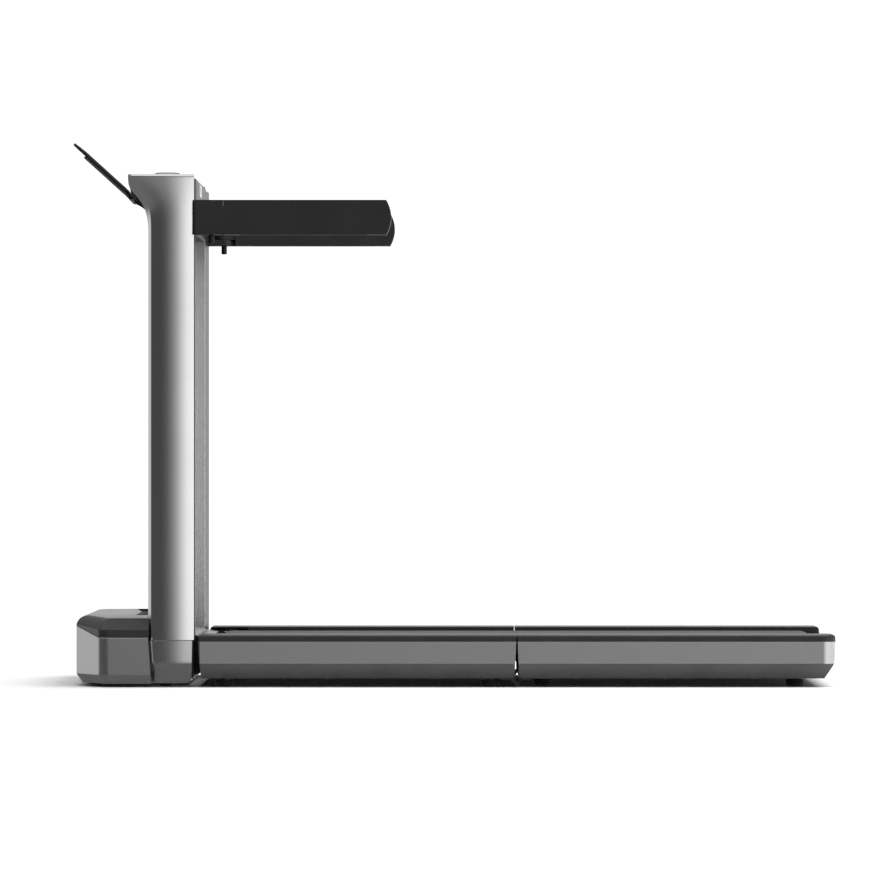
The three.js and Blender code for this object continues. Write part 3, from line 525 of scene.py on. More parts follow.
# The flare at the top of a column: height, front silhouette, front edge of the outer face, fall at that edge.
FLARE = ((0.870, -0.5750, -0.5690, EDGE_FALL), (0.888, -0.5768, -0.5695, EDGE_FALL),
         (0.905, -0.5805, -0.5710, 0.0078), (0.919, -0.5865, -0.5742, 0.0064),
         (0.932, -0.5960, -0.5805, 0.0050), (0.945, -0.6075, -0.5875, 0.0038),
         (0.955, -0.6125, -0.5942, 0.0028), (0.9754, -0.6135, -0.6090, 0.0012))
# How steeply the strip at a column's front runs inwards: on the shaft, in the flare.
STRIP_SLOPE = (1.7, 1.25)
COLUMN_REAR = COLUMN_HIGH.x + 0.0005
REAR_RECESS = 0.002
TOP_RADIUS = 0.0065


def along(rows, z, column):
    """Value at a height, on a smooth curve through the rows."""
    if z <= rows[0][0]:
        return rows[0][column]
    index = max(k for k, row in enumerate(rows[:-1]) if row[0] <= z)
    low, high = rows[index], rows[index + 1]
    before, after = rows[max(index - 1, 0)], rows[min(index + 2, len(rows) - 1)]
    width = high[0] - low[0]
    t = min(1.0, (z - low[0]) / width)
    slope_low = width * (high[column] - before[column]) / (high[0] - before[0])
    slope_high = width * (after[column] - low[column]) / (after[0] - low[0])
    return (low[column] * (2 * t ** 3 - 3 * t ** 2 + 1) + slope_low * (t ** 3 - 2 * t ** 2 + t)
            + high[column] * (3 * t ** 2 - 2 * t ** 3) + slope_high * (t ** 3 - t ** 2))


def column_ring(side, z):
    """Section of a column at a height: convex outer face, and a narrow slanted strip at its front."""
    silhouette = along(FLARE, z, 1)
    outer_front = along(FLARE, z, 2)
    fall = along(FLARE, z, 3)
    into_round = max(0.0, z - (COLUMN_HIGH.z - TOP_RADIUS))
    width = HALF_WIDTH - TOP_RADIUS + math.sqrt(TOP_RADIUS ** 2 - min(into_round, TOP_RADIUS) ** 2)
    share = max(0.0, min(1.0, (z - 0.885) / 0.03))
    strip = (outer_front - silhouette) * (STRIP_SLOPE[0] + (STRIP_SLOPE[1] - STRIP_SLOPE[0]) * share)
    points = [(COLUMN_REAR - REAR_RECESS, HALF_INNER)]
    steps = 18
    for step in range(steps + 1):
        t = step / steps
        fallen = (EDGE_FALL if t < 0.5 else fall) * (2 * t - 1) ** 2
        points.append((COLUMN_REAR + (outer_front - COLUMN_REAR) * t, width - fallen))
    points.append((silhouette, width - fall - strip))
    points.append((silhouette, HALF_INNER))
    return [(x, side * y, z) for x, y in points]


def column(name, side):
    """The anodised shell of a column, a dark strip behind it that paints the dark reflection along its rear edge,
    and the tenon inside its foot.
    """
    bottom = FOOT_HIGH.z + 0.0006
    flare = FLARE[0][0]
    top = COLUMN_HIGH.z
    shoulder = top - TOP_RADIUS
    heights = [bottom, bottom + 0.004, 0.5, flare]
    heights += [flare + (shoulder - flare) * (k + 1) / 20 for k in range(20)]
    angles = (12, 24, 36, 48, 60, 70, 80)
    heights += [shoulder + TOP_RADIUS * math.sin(math.radians(angle)) for angle in angles]
    shell = loft(f"column_{name}_shell", [column_ring(side, z) for z in heights], 20.0)
    soften(shell, 0.0018, 3, 22.0)
    dress(shell, "base", "column_silver", f"column_{name}")
    # A dark strip just proud of the column's rear face: painted dark reflection along the column's rear edge.
    outer, inner = side * (HALF_WIDTH - 0.0105), side * (HALF_INNER + 0.012)
    section = [(COLUMN_REAR - 0.001, outer), (COLUMN_REAR + 0.0016, outer),
               (COLUMN_REAR - REAR_RECESS + 0.0006, inner), (COLUMN_REAR - REAR_RECESS - 0.001, inner)]
    painted_rear_reflection = prism(f"column_{name}_gasket", section, "Z", bottom + 0.001, top - 0.008)
    dress(painted_rear_reflection, "base", "dark_plastic")
    outline = rectangle(-0.562, COLUMN_LOW.z, -0.497, bottom)
    tenon = side_prism(f"column_{name}_tenon", outline, side, 0.270, 0.340)
    dress(soften(tenon, 0.001), "base", "frame_steel")


def convex_face(front, rear, edge, steps=18):
    """Points along a column's convex outer face, from rear to front."""
    return [(rear + (front - rear) * k / steps, edge + EDGE_FALL * (1 - (2 * k / steps - 1) ** 2))
            for k in range(steps + 1)]


# Column foot: height, front, rear, how far its outer face stands in from the machine's side.
FOOT_PROFILE = ((0.0070, -0.5685, -0.5010, 0.0130), (0.0078, -0.5691, -0.4985, 0.0122),
                (0.0120, -0.5695, -0.4925, 0.0110), (0.0440, -0.5715, -0.4915, 0.0014),
                (0.0452, -0.5716, -0.4915, 0.0011), (0.0500, -0.5719, -0.4914, 0.0008),
                (0.0700, -0.5730, -0.4910, 0.0004), (0.0887, -0.5740, -0.4907, 0.0))


def column_foot(name, side):
    """The painted cover of a column's foot, tapering down to a slanted lower edge."""
    inner = HALF_INNER + 0.0175
    rings = []
    for z, front, rear, fall in FOOT_PROFILE:
        edge = HALF_WIDTH - EDGE_FALL - fall
        outer = convex_face(front + 0.0015, rear, edge)
        ring = [(rear, inner), *outer, (front, edge - 0.002), (front, inner)]
        rings.append([(x, side * y, z) for x, y in ring])
    foot = loft(f"column_foot_{name}_cover", rings, 22.0)
    soften(foot, 0.001, 3, 24.0)
    dress(foot, "base", "silver_shell", f"column_foot_{name}")
    outline = rectangle(-0.4908, 0.014, -0.4885, 0.088)
    seal = side_prism(f"column_foot_{name}_seal", outline, side, inner, HALF_WIDTH - 0.016)
    dress(seal, "base", "black_plastic")


# ---- base ----
# Where the base's sides turn in to the slants, and how far from the middle its front begins, with the radii.
SHOULDER = (-0.664, 0.024)
NOSE = (0.262, 0.018)
# How far the skirt's lower edge stands in, and the height of its upper one at the sides and at the front.
SKIRT_INSET = 0.012
SEAM = (0.0940, 0.1140)
# The hood's outside, from the seam up: height at the sides, height at the front, then the insets there.
HOOD_LEVELS = ((0.0943, 0.1143, 0.0006, 0.0006), (0.0949, 0.1149, 0.0, 0.0),
               (0.1080, 0.1165, 0.0, 0.0), (0.1090, 0.1185, 0.0004, 0.0005),
               (0.1100, 0.1215, 0.0014, 0.0018), (0.1175, 0.1262, 0.0101, 0.0045),
               (0.1240, 0.1302, 0.0176, 0.0090), (0.1285, 0.1330, 0.0228, 0.0150),
               (0.1300, 0.1341, 0.0250, 0.0205), (0.1305, 0.1345, 0.0280, 0.0250),
               (0.1345, 0.1345, 0.1000, 0.0320))


def base_path(back, at_side=0.0, at_front=None):
    """Plan of the base, from its left rear end round to the right one, moved inwards at sides and front."""
    at_front = at_side if at_front is None else at_front
    at_slant = (at_side + at_front) / 2
    front = BASE_LOW.x + at_front
    start = Vector((SHOULDER[0], HALF_WIDTH))
    slant = (Vector((BASE_LOW.x, NOSE[0])) - start).normalized()
    start += Vector((-slant.y, slant.x)) * at_slant
    half = HALF_WIDTH - at_side
    shoulder = start.x + slant.x * (half - start.y) / slant.y
    nose = start.y + slant.y * (front - start.x) / slant.x
    shoulder_radius = max(SHOULDER[1] - at_slant, 0.004)
    nose_radius = max(NOSE[1] - at_slant, 0.004)
    return rounded([(back, -half, 0), (shoulder, -half, shoulder_radius), (front, -nose, nose_radius),
                    (front, nose, nose_radius), (shoulder, half, shoulder_radius), (back, half, 0)], 8)


def base_shares(back):
    """For each point of the base's plan, 0 on its sides, rising to 1 on its front."""
    shares = []
    for x, _ in base_path(back):
        t = max(0.0, min(1.0, (SHOULDER[0] - x) / (SHOULDER[0] - BASE_LOW.x)))
        shares.append(t * t * (3 - 2 * t))
    return shares


def base_ring(back, z_side, z_front, at_side, at_front=None):
    """A ring round the base whose height runs from one value at the sides to another at the front."""
    return [(x, y, z_side + (z_front - z_side) * share)
            for (x, y), share in zip(base_path(back, at_side, at_front), base_shares(back))]


def skirt_back(z):
    """Rear end of the skirt, which follows the slanted front of the column's foot."""
    low, high = FOOT_PROFILE[0], FOOT_PROFILE[-1]
    return low[1] + (high[1] - low[1]) * (z - low[0]) / (high[0] - low[0]) - 0.0002


def outline_round(node, radius):
    """The outline, seen along X, of an opening that a node sits in with a small gap."""
    low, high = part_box(node)
    return rectangle(low.y - GAP, low.z - GAP, high.y + GAP, high.z + GAP, radius)


def base_skirt():
    """The painted band round the base, with the mains inlet let into its front."""
    wall = 0.003
    low = BASE_LOW.z
    side, front = SEAM
    levels = ((low, low, SKIRT_INSET), (0.022, 0.022, 0.0006), (0.0235, 0.0235, 0.0),
              (side - 0.0011, front - 0.0011, 0.0), (side - 0.0003, front - 0.0003, 0.0006))
    rings = []
    for z_side, z_front, inset in levels:
        back = skirt_back(z_side)
        outer = base_ring(back, z_side, z_front, inset)
        inner = base_ring(back, z_side, z_front, inset + wall)
        rings.append(outer + inner[::-1])
    skirt = loft("base_skirt_band", rings, 21.0)
    carve(skirt, prism("window", outline_round("power_inlet", 0.002), "X", -0.74, -0.70))
    even_shading(skirt)
    dress(skirt, "base", "silver_shell", "base_skirt")


def hood():
    """The dark cover over the base: slanted shoulders, a pocket, and a bridge down to the belt."""
    top = HOOD_LEVELS[-1][0]
    back = -0.5735
    cover = loft("hood_cover", [base_ring(back, *level) for level in HOOD_LEVELS], 22.0)
    half = HALF_INNER - 0.0012
    nose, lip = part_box("hood")[1].x, 0.0884
    bridge_view = rounded([(-0.60, top, 0), (-0.553, top, 0.02), (-0.487, 0.0945, 0.02),
                           (nose, 0.0912, 0.001), (nose, lip, 0.0005), (-0.60, lip, 0)])
    bridge = prism("bridge", bridge_view, "Y", -half, half, 22.0)
    corners = [prism("corner", rectangle(-0.4885, side * 0.2346, -0.45, side * 0.26), "Z", 0.07, 0.12)
               for _, side in SIDES]
    pocket_low, pocket_high, pocket_half = -0.626, -0.5755, 0.262
    floor = top - 0.005
    pocket_view = rounded([(pocket_low - 0.001, top + 0.001, 0), (pocket_low + 0.012, floor, 0.003),
                           (pocket_high - 0.002, floor, 0.003), (pocket_high, top + 0.001, 0)])
    pocket = prism("pocket", pocket_view, "Y", -pocket_half, pocket_half)
    carve(cover, *corners, pocket, joined=[bridge])
    soften(cover, 0.0007, 2, 30.0)
    dress(cover, "base", "dark_plastic", "hood", material=HOOD_FINISH)
    mat_half = pocket_half - 0.004
    mat_outline = rectangle(pocket_low + 0.014, -mat_half, pocket_high - 0.003, mat_half, 0.003)
    mat = prism("hood_pocket_mat", mat_outline, "Z", floor - 0.0002, floor + 0.0008)
    dress(mat, "base", "rubber")


# ---- console ----
DIGIT = {"0": "abcdef", "1": "bc", "2": "abged", "3": "abgcd", "5": "afgcd"}
POINTS = {":": (0.3, 0.7), ".": (0.0,)}
DIGIT_HEIGHT = 0.012
DIGIT_PITCH = 0.0105
BAR_REACH = 0.0007


def display_segments(text, left, bottom):
    """Boxes (y, z, half width, half height) of seven-segment digits, read from the rear."""
    half = DIGIT_HEIGHT / 2
    side = DIGIT_HEIGHT / 4
    bars = {"a": (0, 2 * half, side, 0), "g": (0, half, side, 0), "d": (0, 0, side, 0),
            "f": (-side, half * 1.5, 0, half / 2), "b": (side, half * 1.5, 0, half / 2),
            "e": (-side, half / 2, 0, half / 2), "c": (side, half / 2, 0, half / 2)}
    boxes = []
    for place, character in enumerate(text):
        middle = left + place * DIGIT_PITCH
        for share in POINTS.get(character, ()):
            boxes.append((middle, bottom + DIGIT_HEIGHT * share, BAR_REACH, BAR_REACH))
        for segment in DIGIT.get(character, ""):
            y, z, reach_y, reach_z = bars[segment]
            boxes.append((middle + y, bottom + z, max(reach_y - BAR_REACH, BAR_REACH),
                          max(reach_z - BAR_REACH, BAR_REACH)))
    return boxes


def display():
    """Smoked window in the rear face of the console, with lit digits just proud of it."""
    low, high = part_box("display_window")
    refined("display_window", 0.0005, name="display_glass")
    boxes = display_segments("12:05", -0.045, low.z + 0.006) + display_segments("3.2", 0.024, low.z + 0.006)
    shape = bmesh.new()
    face = high.x + 0.00012
    for y, z, reach_y, reach_z in boxes:
        ring = rectangle(y - reach_y, z - reach_z, y + reach_y, z + reach_z)
        front = [shape.verts.new((face, u, v)) for u, v in ring]
        back = [shape.verts.new((face - 0.0003, u, v)) for u, v in ring]
        shape.faces.new(front)
        shape.faces.new(list(reversed(back)))
        join_rings(shape, back, front)
    dress(from_bmesh("display_digits", shape), "base", "display", material=LED)


# The front of the console: height, place.
CONSOLE_FRONT = ((0.870, -0.575), (0.888, -0.5765), (0.905, -0.5825), (0.919, -0.591), (0.932, -0.604),
                 (0.948, -0.6155), (0.972, -0.6185))


def console_outline():
    """Side view of the console, its front curving out towards the top."""
    rear, top = CONSOLE_HIGH.x, CONSOLE_HIGH.z
    bottom = CONSOLE_LOW.z
    front = [(along(CONSOLE_FRONT, z, 1), z) for z in (0.945, 0.932, 0.919, 0.912, 0.905, 0.896, 0.888)]
    return rounded([(rear, bottom, 0.006), (rear, top - 0.002, 0.003), (-0.6185, top, 0.003),
                    *[(x + 0.0006, z, 0.0) for x, z in front], (-0.575, bottom, 0.006)])


def console():
    """The moulded console between the columns: a raised ring round the knob, a window and two side seams."""
    half = HALF_INNER - 0.0006
    body = prism("console_body", console_outline(), "Y", -half, half, 25.0)
    low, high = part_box("display_window")
    pocket = prism("pocket", outline_round("display_window", 0.0015), "X", low.x - 0.001, high.x + 0.01)
    top = CONSOLE_HIGH.z
    floor, mouth = top - 0.006, top + 0.01
    well = turned("well", [(0, floor), (KNOB_BORE, floor), (KNOB_BORE, mouth), (0, mouth)], KNOB_CENTRE)
    outlines = [rectangle(-0.64, side * 0.2, -0.47, side * 0.2008) for _, side in SIDES]
    grooves = [prism("groove", outline, "Z", top - 0.0006, top + 0.01) for outline in outlines]
    carve(body, pocket, well, *grooves)
    soften(body, 0.0008, 2, 35.0)
    dress(body, "base", "dark_plastic", "console_shell")
    inner = KNOB_RADIUS + 0.0006
    outer = inner + 0.0035
    low, high = top - 0.0004, top + 0.0010
    section = [(inner, low), (outer, low), (outer, high - 0.0004), (outer - 0.0006, high),
               (inner + 0.0005, high), (inner, high - 0.0005), (inner, low)]
    dress(turned("knob_ring", section, KNOB_CENTRE, segments=96), "base", "bright_steel")


KNOB_FLUTES = 72
FLUTE_DEPTH = 0.0005


def knob():
    """A dial with a fluted edge, a dished top and a black index line."""
    radius = KNOB_RADIUS
    low, high = KNOB_LOW.z, KNOB_HIGH.z
    segments = 4 * KNOB_FLUTES
    # Round from the bore, up the fluted edge and in over the top: radius, height, depth of the flutes.
    profile = [(KNOB_BORE, low, 0), (radius - 0.002, low, 0), (radius - 0.0006, low + 0.001, 0),
               (radius - 0.0002, low + 0.003, FLUTE_DEPTH), (radius, high - 0.006, FLUTE_DEPTH),
               (radius - 0.0008, high - 0.0035, FLUTE_DEPTH), (radius - 0.003, high - 0.0012, 0),
               (radius - 0.006, high - 0.0002, 0), (radius - 0.009, high, 0), (0.012, high - 0.0008, 0)]
    shape = bmesh.new()

    def ring(reach, z, flute=0.0):
        points = []
        for k in range(segments):
            depth = flute if k % 4 == 0 else 0.0
            points.append(spun_point(reach - depth, 2 * math.pi * k / segments, z, KNOB_CENTRE, "Z"))
        return [shape.verts.new(point) for point in points]

    rings = [ring(*level) for level in profile]
    for lower, upper in zip(rings, rings[1:]):
        join_rings(shape, lower, upper)
    tip = shape.verts.new(spun_point(0.0, 0.0, high - 0.0012, KNOB_CENTRE, "Z"))
    for k in range(segments):
        shape.faces.new((rings[-1][k], rings[-1][(k + 1) % segments], tip))
    bore_end = ring(KNOB_BORE, high - 0.0042)
    join_rings(shape, bore_end, rings[0])
    shape.faces.new(bore_end)
    dress(from_bmesh("knob_dial", shape, 32.0), "knob", "knob_silver", "knob")
    index = prism("knob_index", rectangle(-0.0006, 0.0125, 0.0006, 0.0185, 0.0005), "Z",
                  high - 0.0009, high + 0.0001)
    index.data.transform(Matrix.Translation(KNOB_CENTRE))
    dress(index, "knob", "black_plastic")


# ---- tablet holder ----
# The tablet plate in the X-Z plane: its foot, the directions along it and off it, its length and thickness.
PLATE_FOOT = Vector((-0.624, 0.952))
PLATE_ALONG = Vector((-0.741, 0.671))
PLATE_NORMAL = Vector((0.671, 0.741))
PLATE_LENGTH = 0.1412
PLATE_THICKNESS = 0.0058


def on_plate(along_plate, off_plate):
    """A point in the X-Z plane, from its place along the plate and its height off the plate."""
    return tuple(PLATE_FOOT + PLATE_ALONG * along_plate + PLATE_NORMAL * off_plate)


def tablet_holder():
    """A soft-edged plate with a lip and rubber pads, on its aluminium back bracket."""
    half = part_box("holder_plate")[1].y
    plan = rounded([(0.0, -half, 0.004), (0.0, half, 0.004), (PLATE_LENGTH, half, 0.022),
                    (PLATE_LENGTH, -half, 0.022)], 10)
    layers = []
    for off in (0.0, -PLATE_THICKNESS):
        places = [(on_plate(u, off), v) for u, v in plan]
        layers.append([(x, v, z) for (x, z), v in places])
    plate = loft("holder_plate_body", layers)
    soften(plate, 0.0016, 3)
    dress(plate, "tablet_holder", "black_plastic", "holder_plate")
    lip_view = rounded([(-0.6245, 0.9522, 0.001), (-0.6152, 0.9376, 0.001), (-0.6196, 0.9352, 0.002),
                        (-0.6292, 0.9484, 0.001)])
    lip = prism("holder_lip", lip_view, "Y", -half + 0.003, half - 0.003)
    dress(soften(lip, 0.0008), "tablet_holder", "black_plastic")
    section = rounded([(*on_plate(0.012, -0.0004), 0), (*on_plate(0.128, -0.0004), 0),
                       (*on_plate(0.128, 0.0009), 0.0006), (*on_plate(0.012, 0.0009), 0.0006)])
    for name, side in SIDES:
        pad = side_prism(f"holder_pad_{name}", section, side, 0.035, 0.105)
        dress(soften(pad, 0.0004), "tablet_holder", "rubber")
    refined("holder_bracket", 0.0012, name="holder_bracket_body")
    refined("holder_arm", 0.0006, name="holder_arm_body")


# ---- handles ----
def handle(name, side):
    """A round-edged grip with a recessed underside, and the knuckle that turns in its bracket."""
    pivot = JOINTS[f"handle_fold_{name}"]["pos_m"]
    low, high = HANDLE_LOW, HANDLE_HIGH
    inner, outer = sorted((abs(low.y), abs(high.y)))
    root = pivot[0] + 0.0232
    end = high.x
    tip_radius = 0.062
    middle = (low.z + high.z) / 2
    reach = math.degrees(math.asin((high.z - low.z) / 2 / tip_radius))
    tip = arc((end - tip_radius, middle), tip_radius, -reach, reach, 24)
    outline = [(root, low.z), *tip, (root, high.z)]
    y0, y1 = sorted((side * inner, side * outer))
    grip = prism(f"handle_{name}_grip", outline, "Y", y0, y1)
    slot_outline = rectangle(root + 0.03, y0 + 0.011, end - 0.045, y1 - 0.011, 0.008)
    slot = prism("slot", slot_outline, "Z", low.z - 0.01, low.z + 0.0016)
    carve(grip, slot)
    weight_edges(grip, lambda point: 0.05 if abs(point.x - root) < 0.0005 else 1.0)
    soften(grip, 0.0046, 4, limit="WEIGHT")
    dress(grip, f"handle_{name}", "handle_shell", f"handle_{name}")
    knuckle_radius = 0.021
    ear = 0.0119
    shift = side * abs(pivot[1])
    knuckle_outline = [(u, v + shift) for u, v in arc((pivot[0], 0), knuckle_radius, 90, 270, 32)]
    knuckle_outline += [(root + 0.002, shift - 0.017), (root + 0.002, shift + 0.017)]
    knuckle = prism(f"handle_{name}_knuckle", knuckle_outline, "Z", low.z + ear, high.z - ear)
    dress(soften(knuckle, 0.0006), f"handle_{name}", "handle_shell")


def handle_bracket(name, side):
    """The bracket's two ears, under an outer cover that carries the line of the handle on to the column."""
    refined(f"handle_bracket_{name}", name=f"handle_bracket_{name}_ears")
    pivot = JOINTS[f"handle_fold_{name}"]["pos_m"]
    start, end = COLUMN_HIGH.x + 0.0032, pivot[0] + 0.023
    outline = rounded([(start, HANDLE_LOW.z, 0.001), (end, HANDLE_LOW.z, 0.0003),
                       (end, HANDLE_HIGH.z, 0.0003), (start, HANDLE_HIGH.z, 0.001)])
    cover = side_prism(f"handle_bracket_{name}_cover", outline, side, HALF_WIDTH - 0.0026, HALF_WIDTH)
    dress(soften(cover, 0.0003), "base", "handle_shell")


# ---- deck ----
def belt():
    """One endless belt round both rollers, with closely spaced rings where the deck folds."""
    thickness, edge = 0.002, 0.0006
    top, bottom = BELT_HIGH.z, BELT_LOW.z
    radius = (top - bottom) / 2
    centre_z = (top + bottom) / 2
    front, rear = BELT_LOW.x + radius, REAR_BELT_HIGH.x - radius
    bend = 0.034
    fine = [SPLIT - bend + 2 * bend * k / 28 for k in range(29)]
    upper = [front + 0.05, -0.2, -0.05, *fine, 0.3, 0.5, rear - 0.05]

    def loop(reach):
        points = [(x, centre_z + reach) for x in upper]
        points += [(rear + u, centre_z + v) for u, v in arc((0, 0), reach, 90, -90, 24)]
        points += [(x, centre_z - reach) for x in reversed(upper)]
        points += [(front + u, centre_z + v) for u, v in arc((0, 0), reach, 270, 90, 24)]
        return points

    half = BELT_HIGH.y
    section = ((radius - thickness, -half), (radius - edge, -half), (radius, -half + edge),
               (radius, half - edge), (radius - edge, half), (radius - thickness, half))
    rings = [[(x, y, z) for x, z in loop(reach)] for reach, y in section]
    shape = bmesh.new()
    layers = [[shape.verts.new(point) for point in ring] for ring in rings]
    unrolled = shape.loops.layers.uv.new(BELT_MAP)
    outline = loop(radius)
    count = len(outline)
    run = [0.0]
    for here, there in zip(outline, outline[1:] + outline[:1]):
        run.append(run[-1] + math.dist(here, there))
    for near, far in zip(layers, layers[1:] + layers[:1]):
        for k in range(count):
            after = (k + 1) % count
            face = shape.faces.new((near[k], near[after], far[after], far[k]))
            for corner, step in zip(face.loops, (k, k + 1, k + 1, k)):
                corner[unrolled].uv = (run[step], corner.vert.co.y)
    piece = from_bmesh("running_belt", shape, 50.0)
    piece.data.materials.append(MATERIALS["running_belt"])
    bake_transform(piece)
    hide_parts("front_belt", "rear_belt")


def ringed_foot(node, thread):
    """A round rubber foot with a tread groove, under a steel collar."""
    low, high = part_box(node)
    centre = ((low.x + high.x) / 2, (low.y + high.y) / 2, 0.0)
    radius = (high.x - low.x) / 2
    top = high.z
    profile = [(0, 0), (radius - 0.004, 0), (radius - 0.0012, 0.0008), (radius, 0.003), (radius, top * 0.42),
               (radius - 0.0012, top * 0.47), (radius - 0.0012, top * 0.53), (radius, top * 0.58),
               (radius, top - thread - 0.001), (radius - 0.001, top - thread), (0, top - thread)]
    foot = turned(f"{node}_rubber", profile, centre, segments=56)
    dress(foot, BODY_OF[node], "rubber", node)
    collar = turned(f"{node}_collar", [(0, top - thread), (radius * 0.62, top - thread), (radius * 0.62, top),
                                       (0, top)], centre, segments=40)
    dress(collar, BODY_OF[node], "frame_steel")


def mirrored(profile, *middle):
    """A turned profile followed by its mirror image, with any middle points between them."""
    return [*profile, *middle, *((radius, -height) for radius, height in reversed(profile))]


def transport_wheel(name):
    """A rubber-tyred wheel with a dished hub on its axle."""
    node = f"transport_wheel_{name}"
    low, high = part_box(node)
    middle = (low.y + high.y) / 2
    centre = ((low.x + high.x) / 2, middle, (low.z + high.z) / 2)
    radius = (high.x - low.x) / 2
    half = (high.y - low.y) / 2 - 0.005
    tyre = mirrored([(0.009, -half + 0.0012), (0.0105, -half), (radius - 0.0025, -half),
                     (radius - 0.0006, -half + 0.0012), (radius, -half + 0.003), (radius, -0.001)],
                    (radius - 0.0007, 0))
    dress(turned(f"{node}_tyre", [*tyre, tyre[0]], centre, "Y", 56), node, "rubber", node)
    hub = mirrored([(0, -half - 0.005), (0.003, -half - 0.005), (0.003, -half + 0.0006),
                    (0.0089, -half + 0.0016)])
    dress(turned(f"{node}_hub", hub, centre, "Y", 40), node, "black_plastic")


def screw(name, place, body):
    """A button-head screw with a round socket, seen from below."""
    radius, rise = 0.0042, 0.0016
    socket, floor = 0.0018, 0.0004
    x, y, z = place
    profile = [(0.0, z), (radius, z), (radius * 0.92, z - rise * 0.6), (radius * 0.6, z - rise),
               (socket, z - rise), (socket, z - floor), (0.0, z - floor)]
    dress(turned(name, profile, (x, y, 0.0), segments=24), body, "bright_steel")


def pan_screws():
    """Screws that hold the belly pans, in a row along each side."""
    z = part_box("front_belly_pan")[0].z + 0.0002
    for half, starts in (("front", (-0.40, -0.235, -0.07)), ("rear", (0.24, 0.41, 0.58))):
        for side_name, side in SIDES:
            for index, x in enumerate(starts):
                screw(f"{half}_pan_screw_{side_name}_{index + 1}", (x, side * 0.31, z), f"deck_{half}")


# ---- build ----
def refine_the_rest():
    """Softens every CAD node that no hand-made piece stands for; the others are hidden by now."""
    for node in sorted(NODES):
        if not NODES[node].hide_render:
            refined(node)


def add_floor():
    """A plain pale floor, left out of reflections."""
    shape = bmesh.new()
    corners = rectangle(-1.8, -1.2, 1.8, 1.2)
    shape.faces.new([shape.verts.new((x, y, -0.0004)) for x, y in corners])
    floor = from_bmesh("floor", shape)
    floor.data.materials.append(Surface("floor", (0.9, 0.9, 0.9), 0.9, specular_ior_level=0.1).material)
    floor.visible_glossy = False


# Brightness of the studio walls by direction: degrees from -Y towards +X, and brightness.
WALLS = ((-180, 1.2), (-125, 0.60), (-112, 0.55), (-100, 0.10), (-30, 0.035), (-13, 0.11), (-3, 0.24),
         (3, 0.33), (14, 0.54), (32, 1.25), (62, 1.1), (100, 0.9), (180, 1.2))
UPPER_WALLS = 0.35
CEILING = 0.9
GROUND = 0.15
BACKDROP = 1.1


def grey(level):
    return (level, level, level, 1.0)


def smooth_step(tree, value, low, high, at_low=0.0, at_high=1.0):
    """A number that changes smoothly from one level to another while the value runs from low to high."""
    node = tree.nodes.new("ShaderNodeMapRange")
    node.interpolation_type = "SMOOTHSTEP"
    for socket, number in (("From Min", low), ("From Max", high), ("To Min", at_low), ("To Max", at_high)):
        node.inputs[socket].default_value = number
    tree.links.new(value, node.inputs["Value"])
    return node.outputs["Result"]


def fading(tree, colour, level, share):
    """A colour that gives way to a grey level as the share rises."""
    node = tree.nodes.new("ShaderNodeMix")
    node.data_type = "RGBA"
    tree.links.new(share, node.inputs["Factor"])
    tree.links.new(colour, node.inputs["A"])
    node.inputs["B"].default_value = grey(level)
    return node.outputs["Result"]


def wall_ramp(tree, east, north, peak):
    """Brightness of the walls, as a share of the brightest, in the direction given by two coordinates."""
    wire = tree.links.new
    flip = tree.nodes.new("ShaderNodeMath")
    flip.operation = "MULTIPLY"
    flip.inputs[1].default_value = -1.0
    wire(north, flip.inputs[0])
    turn = tree.nodes.new("ShaderNodeMath")
    turn.operation = "ARCTAN2"
    wire(east, turn.inputs[0])
    wire(flip.outputs["Value"], turn.inputs[1])
    share = tree.nodes.new("ShaderNodeMapRange")
    share.inputs["From Min"].default_value = -math.pi
    share.inputs["From Max"].default_value = math.pi
    wire(turn.outputs["Value"], share.inputs["Value"])
    ramp = tree.nodes.new("ShaderNodeValToRGB")
    ramp.color_ramp.interpolation = "B_SPLINE"
    stops = ramp.color_ramp.elements
    for angle, value in WALLS[1:-1]:
        stops.new((angle + 180) / 360).color = grey(value / peak)
    stops[0].color = grey(WALLS[0][1] / peak)
    stops[len(stops) - 1].color = grey(WALLS[-1][1] / peak)
    wire(share.outputs["Result"], ramp.inputs["Fac"])
    return ramp.outputs["Color"]


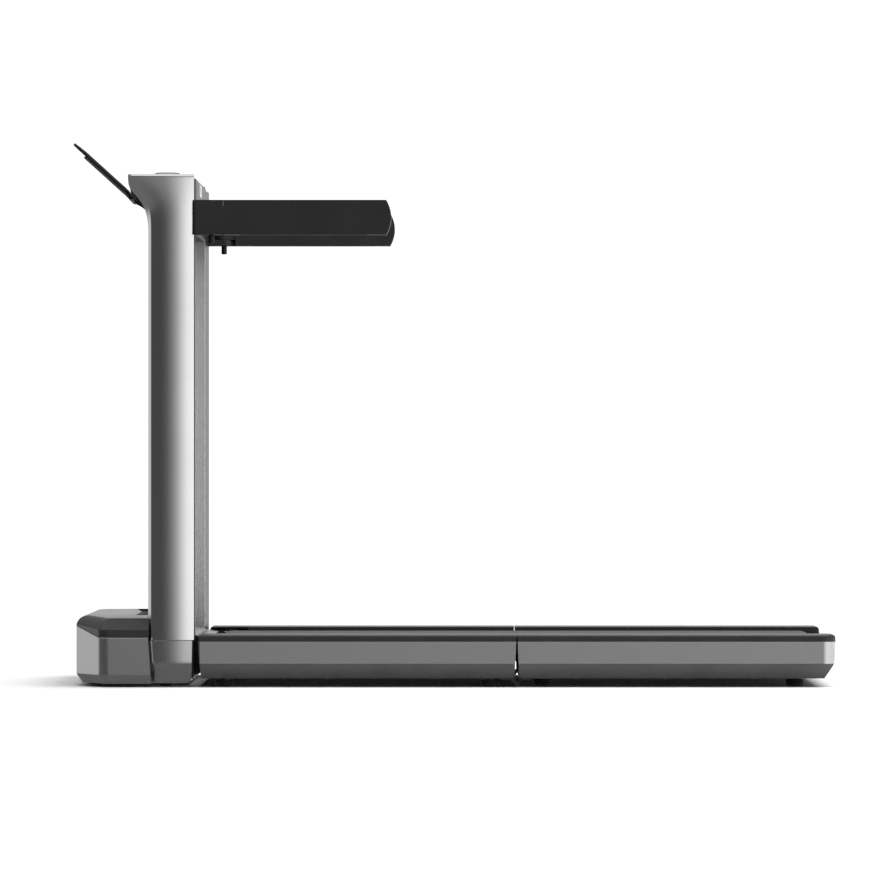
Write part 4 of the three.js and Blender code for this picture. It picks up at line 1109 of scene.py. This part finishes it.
def add_world():
    """Studio walls whose brightness changes round the horizon, a bright ceiling and a white backdrop."""
    world = bpy.data.worlds.new("studio")
    bpy.context.scene.world = world
    world.use_nodes = True
    tree = world.node_tree
    tree.nodes.clear()
    new, wire = tree.nodes.new, tree.links.new
    peak = max(value for _, value in WALLS)
    place = new("ShaderNodeTexCoord")
    split = new("ShaderNodeSeparateXYZ")
    wire(place.outputs["Generated"], split.inputs["Vector"])
    up = split.outputs["Z"]
    walls = new("ShaderNodeVectorMath")
    walls.operation = "SCALE"
    wire(wall_ramp(tree, split.outputs["X"], split.outputs["Y"], peak), walls.inputs[0])
    wire(smooth_step(tree, up, 0.04, 0.35, 1.0, UPPER_WALLS), walls.inputs["Scale"])
    room = fading(tree, walls.outputs["Vector"], CEILING / peak, smooth_step(tree, up, 0.5, 0.9))
    room = fading(tree, room, GROUND / peak, smooth_step(tree, up, -0.02, -0.30))
    surroundings = new("ShaderNodeBackground")
    surroundings.inputs["Strength"].default_value = peak
    wire(room, surroundings.inputs["Color"])
    backdrop = new("ShaderNodeBackground")
    backdrop.inputs["Color"].default_value = grey(1.0)
    backdrop.inputs["Strength"].default_value = BACKDROP
    path = new("ShaderNodeLightPath")
    choose = new("ShaderNodeMixShader")
    wire(path.outputs["Is Camera Ray"], choose.inputs["Fac"])
    wire(surroundings.outputs["Background"], choose.inputs[1])
    wire(backdrop.outputs["Background"], choose.inputs[2])
    output = new("ShaderNodeOutputWorld")
    wire(choose.outputs["Shader"], output.inputs["Surface"])


def add_light():
    """A wide softbox overhead, towards the rear of the deck."""
    place = Vector((1.1, 0.3, 3.4))
    target = Vector((0.1, 0.0, 0.0))
    data = bpy.data.lights.new("overhead", "AREA")
    data.shape = "RECTANGLE"
    data.size = 4.6
    data.size_y = 4.6
    data.energy = 230.0
    light = link("overhead", data)
    light.location = place
    light.rotation_euler = (target - place).to_track_quat("-Z", "Y").to_euler()
    light.visible_glossy = False


add_camera()
for side_name, side_sign in SIDES:
    column(side_name, side_sign)
    column_foot(side_name, side_sign)
    handle(side_name, side_sign)
    handle_bracket(side_name, side_sign)
    transport_wheel(side_name)
    ringed_foot(f"base_foot_{side_name}", 0.002)
    for half_name in HALVES:
        for number in (1, 2):
            ringed_foot(f"{half_name}_deck_foot_{side_name}_{number}", 0.003)
base_skirt()
hood()
console()
display()
knob()
tablet_holder()
belt()
pan_screws()
refine_the_rest()
add_floor()
add_world()
add_light()
bpy.context.scene.view_settings.view_transform = "Standard"
